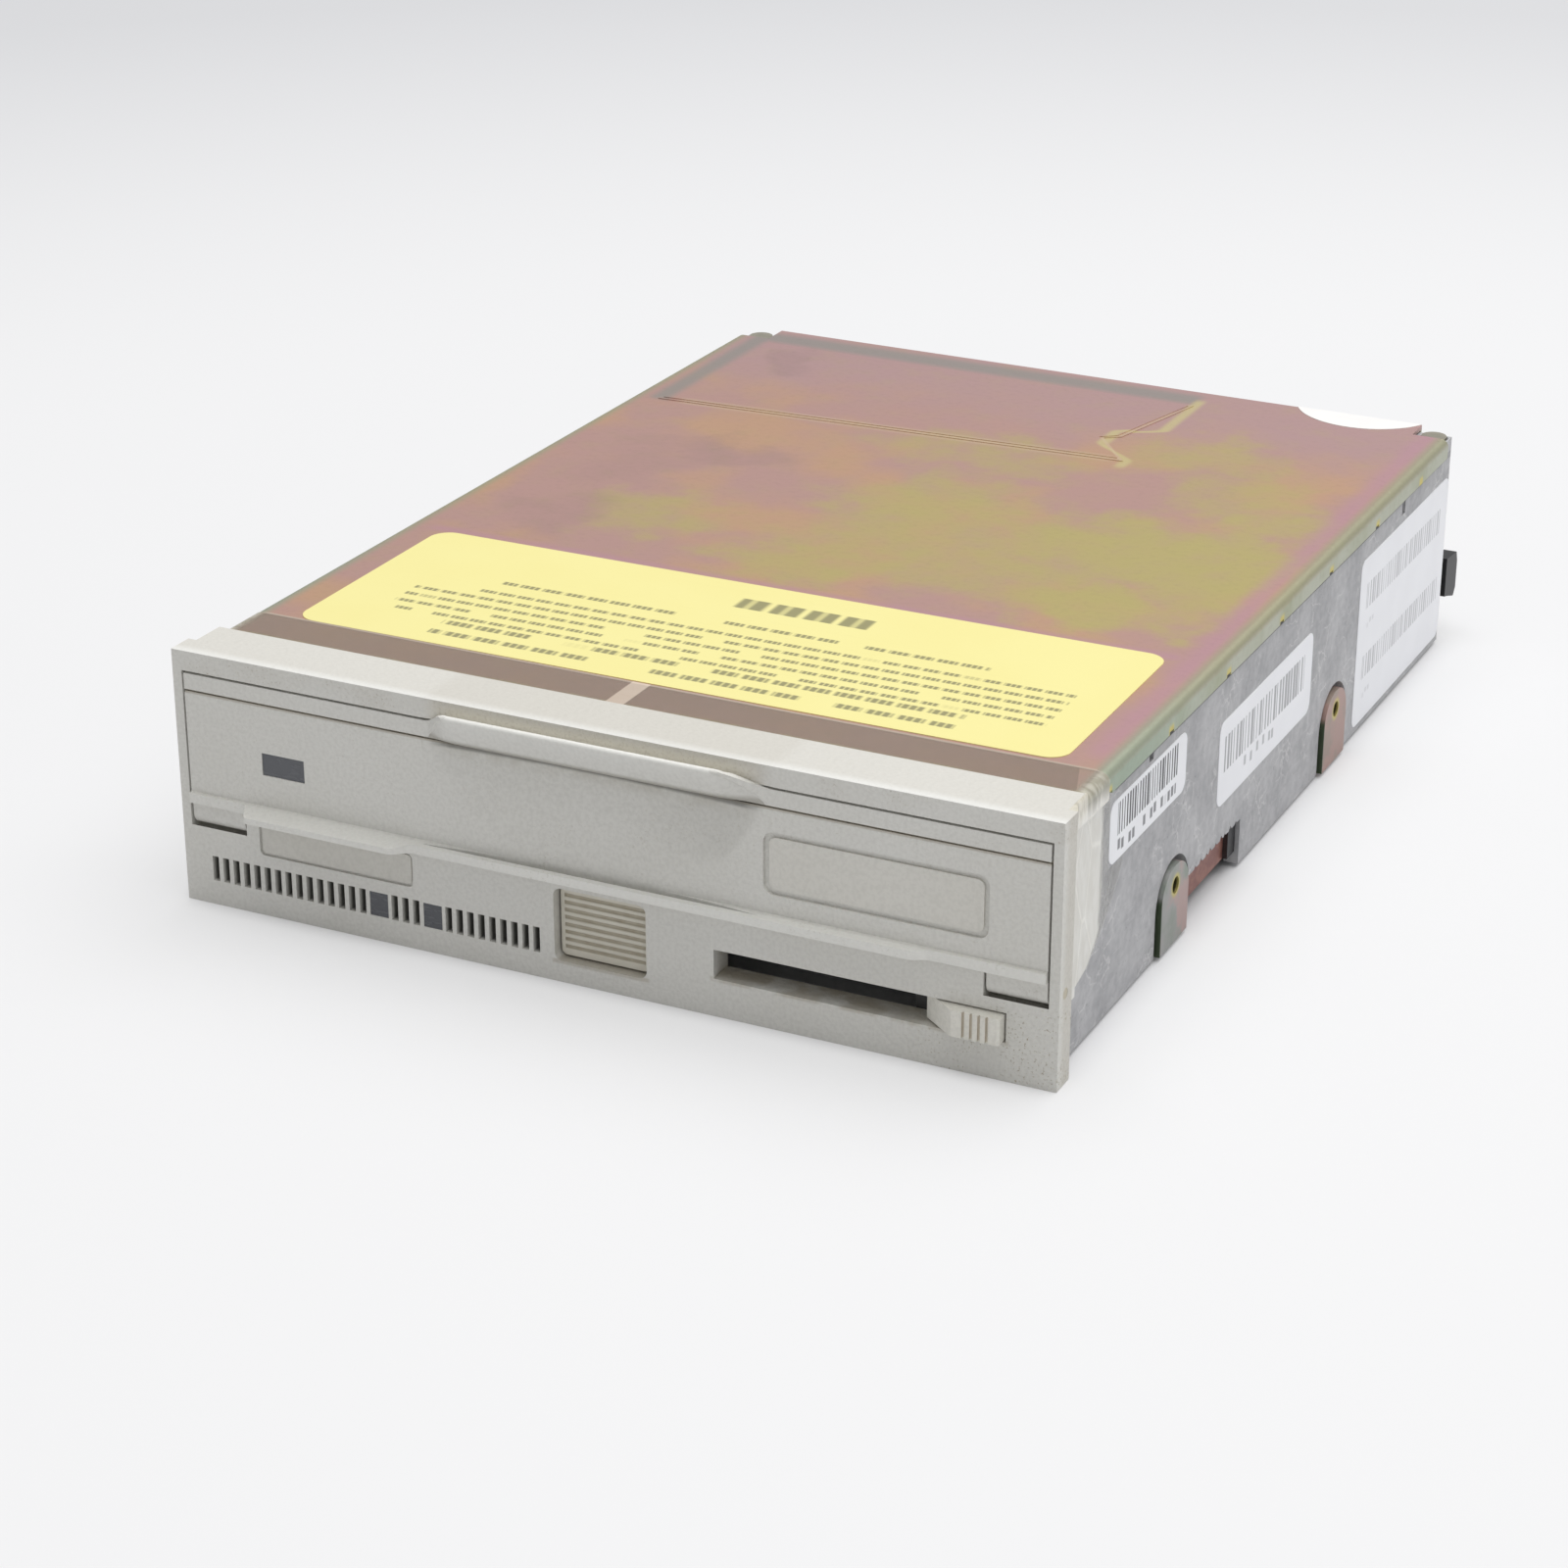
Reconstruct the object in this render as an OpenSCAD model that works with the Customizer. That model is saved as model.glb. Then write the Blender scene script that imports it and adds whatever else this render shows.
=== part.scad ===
// Half-height removable-cartridge disk drive with a drop-down door,
// a sliding load lever and a stop button. X right, Y to the rear, Z up.
// The origin is the middle of the four bottom screw holes, on the base plane.

/* [Chassis] */
// Width over the four mounting brackets
mount_w = 146; // [145:0.5:147]
// Height from the base plane to the top of the cover
chassis_h = 41.3; // [41:0.1:43]
// Depth from the front face to the rear edge of the cover
chassis_d = 197; // [196:1:204]
// Width over the sides of the base casting
casting_w = 144.6; // [144:0.1:144.8]
// Thickness of the casting's side walls
casting_wall = 2.5; // [2:0.1:3]
// Height of the deck's underside above the base plane
deck_z = 11.5; // [11.5:0.1:12]
// Thickness of the deck
deck_t = 2.5; // [2:0.1:2.8]
// Thickness of the sheet metal of the cover
cover_t = 0.8; // [0.6:0.1:1]

/* [Front panel] */
// Width of the front panel
bezel_w = 149.2; // [149:0.1:150]
// Height of the front panel
bezel_h = 42.7; // [42.5:0.1:44]
// Depth of the front panel's flange
flange_d = 4.7; // [4.4:0.1:5]
// Thickness of the front panel's face
face_t = 3; // [2.6:0.1:3.2]
// Width of the door opening
door_opening_w = 146; // [145.6:0.1:146.2]
// Number of cooling slots in the grille
vent_count = 27; // [24:1:27]
// Pitch of the cooling slots
vent_pitch = 1.93; // [1.9:0.01:1.96]
// Width of one cooling slot
vent_w = 1.16; // [1:0.02:1.2]

/* [Door] */
// Height of the door's hinge axis above the base plane
hinge_z = 14.4; // [14.3:0.1:14.5]
// Distance of the hinge axis behind the front face
hinge_y = 2.2; // [2.2:0.05:2.3]
// Thickness of the door
door_t = 2.4; // [2.2:0.1:2.5]
// How far the shelf stands out along most of the door
shelf_mid = 1.8; // [1.4:0.1:2.2]
// How far the shelf stands out at its widest part
shelf_bulge = 3.8; // [3:0.1:4]
// How far the finger lip stands out
lip_reach = 2.5; // [2:0.1:3]

/* [Mechanism] */
// Travel of the load lever, from unload to load
lever_travel = 33; // [28:1:33]
// Lift of the spindle motor over the lever's whole travel
motor_lift = 2.5; // [2:0.1:2.5]
// Travel of the stop button
button_travel = 2; // [1.5:0.1:2]
// Radius of the spindle motor
motor_r = 23; // [21:0.5:23]
// Distance of the spindle behind the front face
spindle_y = 78; // [77:0.5:79]

/* [Mounting pattern] */
// Distance along the drive between mounting holes
hole_pitch_y = 79.25; // [79:0.05:79.5]
// Distance across the drive between bottom holes
hole_pitch_x = 139.7; // [139.5:0.1:139.9]
// Distance of the first hole behind the front panel's flange
first_hole = 47.4; // [47:0.1:48]
// Height of the side holes above the base plane
side_hole_z = 10; // [9.8:0.1:10.2]
// Radius of the threaded mounting holes
thread_r = 1.4; // [1.3:0.05:1.5]

/* [Hidden] */

$fn = 48;
eps = 0.01;

// Places on the drive, measured from the front face.
hole_y1 = flange_d + first_hole;
hole_y2 = hole_y1 + hole_pitch_y;
face_y = -(hole_y1 + hole_y2) / 2;
bezel_low = -(bezel_h - chassis_h) / 2;
bezel_top = bezel_low + bezel_h;
casting_x = casting_w / 2;
inner_x = casting_x - casting_wall;
casting_y = flange_d;
casting_rear = chassis_d - cover_t - 0.1;
cover_z = chassis_h - cover_t;
casting_top = cover_z - 0.3;
deck_top = deck_z + deck_t;
mouth_half = door_opening_w / 2 - 1.7;
wall_back = casting_rear - casting_wall;
bay_rear_y = 184;
skirt_d = 11;
shelf_half = casting_x + 0.05 + cover_t;
beam_low = 37.2;
beam_top = 39;
beam_d = 3.5;
bezel_screw = [67.3, 2.6];
cover_screw = [69.4, 194.2];

// Door
opening_half = door_opening_w / 2;
door_half = opening_half - 0.35;
opening_top = 38.7;
door_top = opening_top - 0.4;
panel_top = 16.2;
shelf_low = 16.6;
shelf_root = 18.35;
shelf_slope = 0.2;
shelf_end = 0.7;
strip_low = 35.65;
ear_x = 62.75;
ear_gap = 0.35;
ear_r = 2;
pin_r = 0.9;
pocket_r = 2.9;
sweep_r = 3.1;
lip_top = 40.75;

// Grille, indicator windows, button well and lever slot
vent_x = -69.58;
vent_low = 3.45;
vent_h = 4.25;
window_h = 4.1;
well_x = [-8, 7.8];
well_z = [2.85, 15];
slot_x = [19.15, 66.45];
slot_z = [5.55, 10.4];
thumb_x = [58.1, 66.15];
thumb_reach = 2;
wedge_x = 53.1;
cam_y = 46.7;
cam_t = 1.5;
pin_z = 7;
lift_pin_r = 0.9;

// Swinging head arms
pivot = [30, 170];
pivot_r = 3;
arm_l = 62;
arm_turn = 205;
coil_turn = -6;

// Board
board_z = 3;
board_t = 1.6;
board_x = 66;
board_y = [22, 193];

// Moves the drawing so that the front face lies at its place in the part's frame.
module from_face() { translate([0, face_y, 0]) children(); }

// A box from its two corners.
module box(low, high) { translate(low) cube(high - low); }

// A flat outline in Y and Z, drawn out along X from x0 to x1.
module along_x(x0, x1) {
    translate([x0, 0, 0]) rotate([90, 0, 90]) linear_extrude(x1 - x0) children();
}

// A flat outline in X and Z, drawn out along Y from y0 to y1.
module along_y(y0, y1) {
    translate([0, y1, 0]) rotate([90, 0, 0]) linear_extrude(y1 - y0) children();
}

// A flat outline in X and Y, drawn out along Z from z0 to z1.
module along_z(z0, z1) { translate([0, 0, z0]) linear_extrude(z1 - z0) children(); }

// A rectangle between two corners, with round corners of radius r.
module rounded(low, high, r) {
    translate([low[0] + r, low[1]]) square([high[0] - low[0] - 2 * r, high[1] - low[1]]);
    translate([low[0], low[1] + r]) square([high[0] - low[0], high[1] - low[1] - 2 * r]);
    for (x = [low[0] + r, high[0] - r], y = [low[1] + r, high[1] - r])
        translate([x, y]) circle(r);
}

// A round bar along X.
module bar_x(r, x0, x1) { translate([x0, 0, 0]) rotate([0, 90, 0]) cylinder(r = r, h = x1 - x0); }

// A round bar along Y.
module bar_y(r, y0, y1) { translate([0, y0, 0]) rotate([-90, 0, 0]) cylinder(r = r, h = y1 - y0); }

// The part and its mirror image across the drive.
module both_sides() {
    children();
    mirror([1, 0, 0]) children();
}

// A smooth step from (x0, a) to (x1, b), as points.
function smooth(x0, x1, a, b, n = 8) = [
    for (i = [0:n]) let (t = i / n)
        [x0 + (x1 - x0) * t, a + (b - a) * t * t * (3 - 2 * t)]
];

// How far the shelf stands out, seen from above.
module shelf_plan() {
    polygon(concat(
        [[-door_half, 1.5], [-door_half, -shelf_end]],
        smooth(-62.6, -60.3, -shelf_end, -shelf_bulge),
        smooth(-34.8, -31.3, -shelf_bulge, -shelf_mid),
        smooth(51.5, 54.5, -shelf_mid, -shelf_end),
        [[door_half, -shelf_end], [door_half, 1.5]]
    ));
}

// The shelf's section, as deep as its widest part.
module shelf_section() {
    far = shelf_bulge + 0.5;
    polygon([[1.5, shelf_low], [1.5, shelf_root], [0, shelf_root],
        [-far, shelf_root - shelf_slope * far], [-far, shelf_low]]);
}

// The finger lip's section: it sweeps up and out to a round edge.
module lip_section() {
    rise = lip_top - 0.8 - strip_low;
    tip = [-lip_reach + 0.15, lip_top - 0.4];
    polygon(concat(
        [for (i = [0:8]) let (t = i / 8) [-lip_reach * pow(t, 1.7), strip_low + rise * t]],
        [for (a = [200:-22:90]) tip + 0.4 * [cos(a), sin(a)]],
        [[-1.1, lip_top - 0.55], [-0.2, lip_top - 1.55], [0.4, door_top], [1.5, door_top],
            [1.5, strip_low]]
    ));
}

// The lip seen from above, with its two smooth ends.
module lip_plan() {
    polygon(concat([[-29.5, 1.6]],
        smooth(-29.5, -24, 0, -lip_reach - 0.5),
        smooth(19.5, 29, -lip_reach - 0.5, 0),
        [[29, 1.6]]));
}

// The lip seen from the front.
module lip_front() {
    polygon(concat([[-29.5, strip_low]],
        smooth(-29.5, -24.5, door_top, lip_top + 0.1),
        smooth(20, 29, lip_top + 0.1, door_top),
        [[29, strip_low]]));
}

module finger_lip() {
    intersection() {
        along_x(-29.5, 29) lip_section();
        along_z(strip_low - 1, lip_top + 1) lip_plan();
        along_y(-lip_reach - 2, 2) lip_front();
    }
}

module door_shelf() {
    intersection() {
        along_x(-door_half, door_half) shelf_section();
        along_z(shelf_low - 1, shelf_root + 1) shelf_plan();
    }
}

// A wide shallow hollow in the door, below the lip.
module door_dish() {
    rim = 31.6;
    ball = 350;
    intersection() {
        translate([-2, -sqrt(ball * ball - rim * rim), 47]) sphere(ball, $fn = 320);
        box([-30, -1, 17], [28, 3, strip_low - 0.35]);
    }
}

module front_door() {
    color([0.73, 0.73, 0.70]) from_face() difference() {
        union() {
            // Panel and strip
            box([-door_half, 0, shelf_low], [door_half, door_t, door_top]);
            finger_lip();
            door_shelf();
            // Ears that carry the hinge pins
            both_sides() {
                box([ear_x + ear_gap, hinge_y - ear_r, hinge_z], [door_half, door_t, 18.2]);
                translate([0, hinge_y, hinge_z]) bar_x(ear_r, ear_x + ear_gap, door_half);
            }
            // Stiffening ribs on the back
            for (z = [23, 29.5, 35.5]) box([-65, door_t - eps, z], [65, door_t + 1.2, z + 1.2]);
            for (x = [-64, -34, 0, 34, 62.8]) box([x, door_t - eps, 20], [x + 1.2, door_t + 1.2, 37]);
        }
        // Shadow line between the strip and the panel, with a softened panel edge
        along_x(-door_half - 1, door_half + 1) polygon([[-1, strip_low], [0.7, strip_low],
            [0.7, strip_low - 0.35], [0.15, strip_low - 0.35], [0, strip_low - 0.9], [-1, strip_low - 0.9]]);
        door_dish();
        // Bottom edge between the ears follows the hinge
        translate([0, hinge_y, hinge_z]) bar_x(sweep_r, -ear_x, ear_x);
        both_sides() translate([0, hinge_y, hinge_z]) bar_x(pin_r + 0.05, ear_x - 1, door_half + 1);
        // Window, and the shallow recess of the plaque
        along_y(-1, door_t + 3) translate([-59.1, 23.6]) square([7.65, 3.75]);
        along_y(-1, 0.6) rounded([27.4, 21.4], [63.4, 31.55], 1.8);
    }
}

module door_window() {
    color([0.30, 0.30, 0.33]) from_face() {
        along_y(0.15, door_t - 0.1) translate([-59.05, 23.65]) square([7.55, 3.65]);
    }
}

module door_plaque() {
    color([0.78, 0.77, 0.73]) from_face() {
        along_y(0.2, 0.6) rounded([28.3, 22.3], [62.5, 30.65], 1.2);
    }
}

// The plain bezel outline of each cooling slot.
module cooling_slots() {
    for (i = [0:vent_count - 1]) {
        step = i + (i >= 15 ? 2 : 0) + (i >= 18 ? 2 : 0);
        translate([vent_x + step * vent_pitch, 0, vent_low]) cube([vent_w, face_t + 3, vent_h]);
    }
}

// Left edge of the indicator window after the given number of pitches.
function lamp_x(steps) = vent_x + steps * vent_pitch - 0.05;

// The scoop in the top bar that lets a finger behind the lip.
module finger_scoop() {
    intersection() {
        translate([0, -3.6, 37.6]) bar_x(5.65, -31, 30.5);
        along_z(30, bezel_top + 1) polygon(concat([[-31, -3]],
            smooth(-31, -25.5, -0.2, 2.6), smooth(21, 30.5, 2.6, -0.2), [[30.5, -3]]));
    }
}

module front_bezel() {
    color([0.73, 0.73, 0.70]) from_face() difference() {
        union() {
            box([-bezel_w / 2, 0, bezel_low], [bezel_w / 2, flange_d, bezel_top]);
            // Rear shelf that reaches over the casting up to the cover
            box([-shelf_half, flange_d - eps, casting_top], [shelf_half, skirt_d, bezel_top]);
            // Hooks that catch behind the casting's front beam
            both_sides() {
                box([26, flange_d - eps, beam_top + 0.1], [38, flange_d + beam_d + 1.1, casting_top + eps]);
                box([26, flange_d + beam_d + 0.1, beam_top - 1], [38, flange_d + beam_d + 1.1, casting_top]);
            }
        }
        // Door opening, then the cartridge mouth with a stop all round for the door
        box([-opening_half, -1, panel_top], [opening_half, face_t - 0.2, opening_top]);
        box([-mouth_half, -1, panel_top], [mouth_half, flange_d + 1, opening_top - 0.7]);
        finger_scoop();
        // Hinge pockets
        both_sides() {
            translate([0, hinge_y, hinge_z]) bar_x(pocket_r, ear_x, opening_half);
            box([ear_x, -1, hinge_z - 1.9], [opening_half, hinge_y, panel_top + 1]);
            box([ear_x, 0, hinge_z], [opening_half, hinge_y + pocket_r, panel_top + 1]);
            translate([0, hinge_y, hinge_z]) bar_x(pin_r, opening_half - 1, bezel_w / 2 + 1);
        }
        // Hollow back, with collars left round the grille, the button and the lever
        difference() {
            box([-71, face_t, 0.9], [71, flange_d + 1, panel_top - 1.6]);
            box([vent_x - 1.2, 0, 0], [-9.4, flange_d + 2, vent_low + vent_h + 1.2]);
            box([-9.4, 0, 0], [9.2, flange_d + 2, panel_top]);
            box([slot_x[0] - 1.2, 0, 0], [68.5, flange_d + 2, slot_z[1] + 1.2]);
            box([ear_x - 1.2, 0, 9], [72, flange_d + 2, panel_top]);
            box([-72, 0, 9], [-ear_x + 1.2, flange_d + 2, panel_top]);
            both_sides() translate([bezel_screw[0], 0, bezel_screw[1]]) bar_y(2.4, 1, flange_d + 2);
        }
        both_sides() translate([bezel_screw[0], 0, bezel_screw[1]]) bar_y(1.1, 1.6, flange_d + 2);
        translate([0, -1, 0]) cooling_slots();
        for (s = [15, 20]) box([lamp_x(s), -1, vent_low + 0.05], [lamp_x(s) + 3.3, 6, vent_low + window_h + 0.05]);
        along_y(-1, 6) rounded([well_x[0], well_z[0]], [well_x[1], well_z[1]], 1.3);
        box([slot_x[0], -1, slot_z[0]], [slot_x[1], 6, slot_z[1]]);
        // Shallow recess of the small plate
        along_y(-1, 0.5) rounded([-60.45, 9.75], [-32.7, 15.4], 0.9);
    }
}

module bezel_plate() {
    color([0.76, 0.75, 0.72]) from_face() {
        along_y(0.25, 0.5) rounded([-60.1, 10.1], [-33.05, 15.05], 0.7);
    }
}

module hinge_pins() {
    color([0.6, 0.6, 0.6]) from_face() both_sides() {
        translate([0, hinge_y, hinge_z]) bar_x(pin_r, ear_x + ear_gap + 0.4, bezel_w / 2 - 0.05);
    }
}

module lamp_lens(steps) {
    color([0.30, 0.31, 0.34]) from_face()
        box([lamp_x(steps), 0.1, vent_low + 0.05], [lamp_x(steps) + 3.3, 3.2, vent_low + window_h + 0.05]);
}

module lens_activity() { lamp_lens(15); }

module lens_ready() { lamp_lens(20); }

// Small upright board behind the grille.
module led_board() {
    color([0.13, 0.33, 0.18]) from_face() box([-46, 12, 3.2], [12, 13.6, 11]);
}

module indicator_leds() {
    color([0.75, 0.75, 0.6]) from_face() for (s = [15, 20]) {
        box([lamp_x(s) + 0.4, 8, vent_low + 0.4], [lamp_x(s) + 2.9, 12, vent_low + 3.8]);
        translate([lamp_x(s) + 1.65, 0, vent_low + 2.1]) bar_y(1.1, 5.4, 8);
    }
}

module stop_switch() {
    color([0.12, 0.12, 0.13]) from_face() {
        box([-3, 9, 5], [3, 12, 11]);
        translate([0, 0, 8]) bar_y(1.5, 7.9, 9);
    }
}

// The ribbed button, which sits a little back in its well.
module stop_button() {
    ribs = 9;
    pitch = (well_z[1] - well_z[0] - 1) / ribs;
    color([0.80, 0.77, 0.66]) from_face() difference() {
        union() {
            along_y(1.7, flange_d) rounded([well_x[0] + 0.35, well_z[0] + 0.35],
                [well_x[1] - 0.35, well_z[1] - 0.35], 1);
            box([-9, flange_d + 0.3, 2.2], [9, flange_d + 0.9, 15.6]);
            box([-7, flange_d - eps, 4], [7, flange_d + 0.4, 14]);
        }
        for (i = [1:ribs - 1]) translate([0, 1.7, well_z[0] + 0.5 + i * pitch])
            along_x(well_x[0] + 1, well_x[1] - 1) polygon([[-0.1, -0.5], [0.22, -0.15], [0.22, 0.15], [-0.1, 0.5]]);
    }
}

// Thumb piece, its slide behind the panel and the arm that reaches back.
module load_lever() {
    low = slot_z[0] + 0.3;
    high = slot_z[1] - 0.3;
    color([0.76, 0.76, 0.72]) from_face() difference() {
        union() {
            along_z(low, high) polygon([[thumb_x[0] + 0.5, -thumb_reach], [thumb_x[0], -thumb_reach + 0.3],
                [wedge_x, 2], [wedge_x, 5.5], [thumb_x[1], 5.5],
                [thumb_x[1], -thumb_reach + 0.3], [thumb_x[1] - 0.4, -thumb_reach]]);
            box([50, 5.1, 4.9], [68, 6.3, deck_z - 0.4]);
            box([57, 6.2, 6], [63, cam_y, 9]);
        }
        for (i = [0:3]) translate([60.5 + i * 1.24, -thumb_reach - 0.1, 0])
            along_z(low - 1, high + 1) polygon([[-0.28, -0.1], [-0.15, 0.45], [0.15, 0.45], [0.28, -0.1]]);
    }
}

// Upright plate with the sloping slot that lifts the motor.
module cam_plate() {
    slope = motor_lift / lever_travel;
    slot_r = lift_pin_r + 0.08;
    color([0.70, 0.70, 0.62]) from_face() difference() {
        box([-4, cam_y, 5.2], [64, cam_y + cam_t, 11.2]);
        for (x = [0, lever_travel]) translate([x, 0, pin_z + x * slope])
            bar_y(slot_r, cam_y - 1, cam_y + cam_t + 1);
        translate([0, cam_y - 1, pin_z]) rotate([0, -atan(slope), 0]) translate([0, 0, 0.02 - slot_r])
            cube([lever_travel / cos(atan(slope)), cam_t + 2, 2 * slot_r - 0.04]);
    }
}

// Arched cut-out in the casting's side for a bracket, as an outline in Y and Z.
module bracket_arch(y) {
    arch_r = 7.4;
    translate([y + 0.6 - arch_r, -1]) square([2 * arch_r, 8]);
    translate([y + 0.6, 7]) circle(arch_r);
}

module base_casting() {
    color([0.63, 0.63, 0.64]) from_face() difference() {
        union() {
            difference() {
                union() {
                    both_sides() box([inner_x, casting_y, 0], [casting_x, casting_rear, casting_top]);
                    // Deck, with its rear part raised over the connectors
                    box([-inner_x - eps, 9, deck_z], [inner_x + eps, bay_rear_y, deck_top]);
                    box([-inner_x - eps, bay_rear_y - 2.5, deck_top - eps], [inner_x + eps, casting_rear, deck_top + 2.5]);
                    box([-inner_x - eps, wall_back, deck_top + 2.4], [inner_x + eps, casting_rear, casting_top]);
                    // Front beam over the cartridge mouth
                    box([-inner_x - eps, casting_y, beam_low], [inner_x + eps, casting_y + beam_d, beam_top]);
                    both_sides() {
                        // Front lugs, and tabs for the panel's screws
                        box([66.4, 10, 34.5], [inner_x + eps, 16, casting_top]);
                        box([64.6, casting_y, 0.3], [inner_x + eps, casting_y + 3.5, 4.6]);
                        // Rear corner posts for the cover's screws
                        box([65.5, 190.5, deck_top], [inner_x + eps, casting_rear, cover_z - 1]);
                    }
                }
                // Cut-outs for the brackets, and the raised bottom edge behind the front one
                along_x(-casting_x - 1, -inner_x - 0.2) for (y = [hole_y1, hole_y2]) bracket_arch(y);
                along_x(inner_x + 0.2, casting_x + 1) for (y = [hole_y1, hole_y2]) bracket_arch(y);
                both_sides() box([inner_x - 1, hole_y1 + 5, -1], [casting_x + 1, 84.2, 8.1]);
                both_sides() for (i = [0:8]) translate([casting_x, 63 + 2.3 * i + (i % 3) * 0.3, 8])
                    rotate([45, 0, 0]) cube([3, 0.9 + 0.3 * (i % 2), 0.9 + 0.3 * (i % 2)], center = true);
                both_sides() for (n = [[39.6, 35.4], [166.5, 34.2]])
                    box([casting_x - 1, n[0], n[1]], [casting_x + 1, n[0] + 1.8, casting_top + 1]);
                both_sides() for (y = [hole_y1, hole_y2])
                    box([inner_x - 1, y - 6.6, -1], [inner_x + 0.5, y + 7.6, 7]);
                translate([0, spindle_y, 0]) cylinder(r = motor_r + 1, h = deck_top + 2, $fn = 96);
            }
            // Bosses for the brackets and the board
            for (x = [-61, 61], y = [hole_y1, hole_y2]) translate([x, y, 3.4]) cylinder(r = 3.4, h = deck_z - 3.3);
            for (p = board_posts()) translate([p[0], p[1], board_z + board_t]) cylinder(r = 3, h = deck_z - board_z - board_t + 0.1);
            // Stiffening ribs on the deck
            for (x = [-44, 44]) box([x - 0.8, 14, deck_top - eps], [x + 0.8, 138, deck_top + 1.6]);
            for (y = [18, 120]) box([-60, y - 0.8, deck_top - eps], [60, y + 0.8, deck_top + 1.6]);
            difference() {
                translate([0, spindle_y, deck_top - eps]) cylinder(r = motor_r + 3.2, h = 1.8, $fn = 96);
                translate([0, spindle_y, 0]) cylinder(r = motor_r + 1, h = 40, $fn = 96);
            }
        }
        // Screw holes
        for (x = [-61, 61], y = [hole_y1, hole_y2]) translate([x, y, 0]) cylinder(r = 1.2, h = 9);
        for (p = board_posts()) translate([p[0], p[1], 0]) cylinder(r = 1.1, h = 10);
        both_sides() {
            translate([cover_screw[0], cover_screw[1], 32]) cylinder(r = 1.1, h = 12);
            translate([cover_screw[0], cover_screw[1], cover_z - 1]) cylinder(r = 2.6, h = 3);
            translate([bezel_screw[0], 0, bezel_screw[1]]) bar_y(1.2, casting_y - 1, casting_y + 5);
        }
        translate([pivot[0], pivot[1], 5]) cylinder(r = pivot_r, h = 12);
        // Way for the flexible strip down to the board
        box([-12, 170, deck_z - 1], [4, 173, deck_top + 1]);
    }
}

// Places of the screws that hold the board.
function board_posts() = [[-50, 28], [16, 28], [-62, 100], [62, 100], [-62, 176], [60, 178], [0, 120]];

module top_cover() {
    half = casting_x + 0.05 + cover_t;
    low = chassis_h - 3.6;
    bend = 1.5;
    color([0.68, 0.60, 0.52]) from_face() difference() {
        union() {
            difference() {
                along_y(skirt_d + 0.2, chassis_d) rounded([-half, low - 4], [half, chassis_h], bend);
                along_y(casting_y - 1, chassis_d - cover_t)
                    rounded([-half + cover_t, low - 5], [half - cover_t, cover_z], bend - cover_t);
                box([-80, 0, low - 6], [80, 210, low]);
            }
            // Raised panel, in two shallow steps
            along_z(chassis_h - eps, chassis_h + 0.15) polygon(raised_panel(0));
            along_z(chassis_h, chassis_h + 0.3) polygon(raised_panel(0.8));
        }
        // Notches along both folded edges, and the cut rear corners
        both_sides() {
            for (i = [0:5]) translate([casting_x - 1, 20.2 + i * 25.5, low - 1]) cube([3, 1.8, 1.5]);
            box([cover_screw[0] - 3.2, cover_screw[1] - 3.2, low - 5], [80, 210, chassis_h + 1]);
        }
    }
}

// Outline of the raised panel, drawn in by d on every side.
function raised_panel(d) = [
    [-67.5 + d, 147 + d], [24 - 1.8 * d, 152.2 + d], [16 - d, 163 - 0.3 * d],
    [18.8 - d, 165], [24.2 - d, 188.3 - d], [-67.5 + d, 188.3 - d]
];

module cover_screws() {
    color([0.72, 0.70, 0.62]) from_face() both_sides() translate([cover_screw[0], cover_screw[1], cover_z - 1]) {
        cylinder(r = 2.3, h = 1.1);
        translate([0, 0, -6]) cylinder(r = 1.1, h = 6.5);
    }
}

// One mounting bracket: tab, foot and both threaded holes, on the right side.
module bracket_right_at(y) {
    outer = mount_w / 2;
    thick = 1.6;
    tab_r = 5.5;
    difference() {
        union() {
            along_x(outer - thick, outer) {
                translate([y - 6, 0]) square([12, 13.5 - tab_r]);
                translate([y - 6 + tab_r, 2]) square([12 - 2 * tab_r, 11.5]);
                for (s = [-1, 1]) translate([y + s * (6 - tab_r), 13.5 - tab_r]) circle(tab_r);
            }
            box([57, y - 6, 0], [outer - eps, y + 6, thick]);
        }
        translate([0, y, side_hole_z]) bar_x(thread_r, outer - 4, outer + 1);
        translate([hole_pitch_x / 2, y, -1]) cylinder(r = thread_r, h = 4);
        translate([61, y, -1]) cylinder(r = 1.3, h = 4);
        translate([61, y, -1]) cylinder(r = 2.9, h = 1.7);
    }
}

module bracket_pair() {
    outer = mount_w / 2;
    bracket_right_at(hole_y1);
    bracket_right_at(hole_y2);
    // Arm behind the casting's raised edge, joined to the front tab
    box([outer - 3.6, hole_y1 + 3, 2.2], [outer - 2.2, hole_y1 + 29, 7.4]);
    box([outer - 3.6, hole_y1 + 28.4, 2.2], [outer - 1.4, hole_y1 + 31.9, 8]);
    box([outer - 3.6, hole_y1 + 3, 2.2], [outer - 1, hole_y1 + 5.9, 7.4]);
}

module bracket_right() { color([0.62, 0.60, 0.48]) from_face() bracket_pair(); }

module bracket_left() { color([0.62, 0.60, 0.48]) from_face() mirror([1, 0, 0]) bracket_pair(); }

module shock_grommets() {
    color([0.10, 0.10, 0.10]) from_face() for (x = [-61, 61], y = [hole_y1, hole_y2]) difference() {
        translate([x, y, 1.6]) cylinder(r = 3.9, h = 1.8);
        translate([x, y, 0]) cylinder(r = 1.3, h = 5);
    }
}

module bracket_screws() {
    color([0.70, 0.70, 0.68]) from_face() for (x = [-61, 61], y = [hole_y1, hole_y2]) {
        translate([x, y, 0.1]) cylinder(r = 2.7, h = 0.6);
        translate([x, y, 0.6]) cylinder(r = 1.2, h = 7);
    }
}

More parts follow.
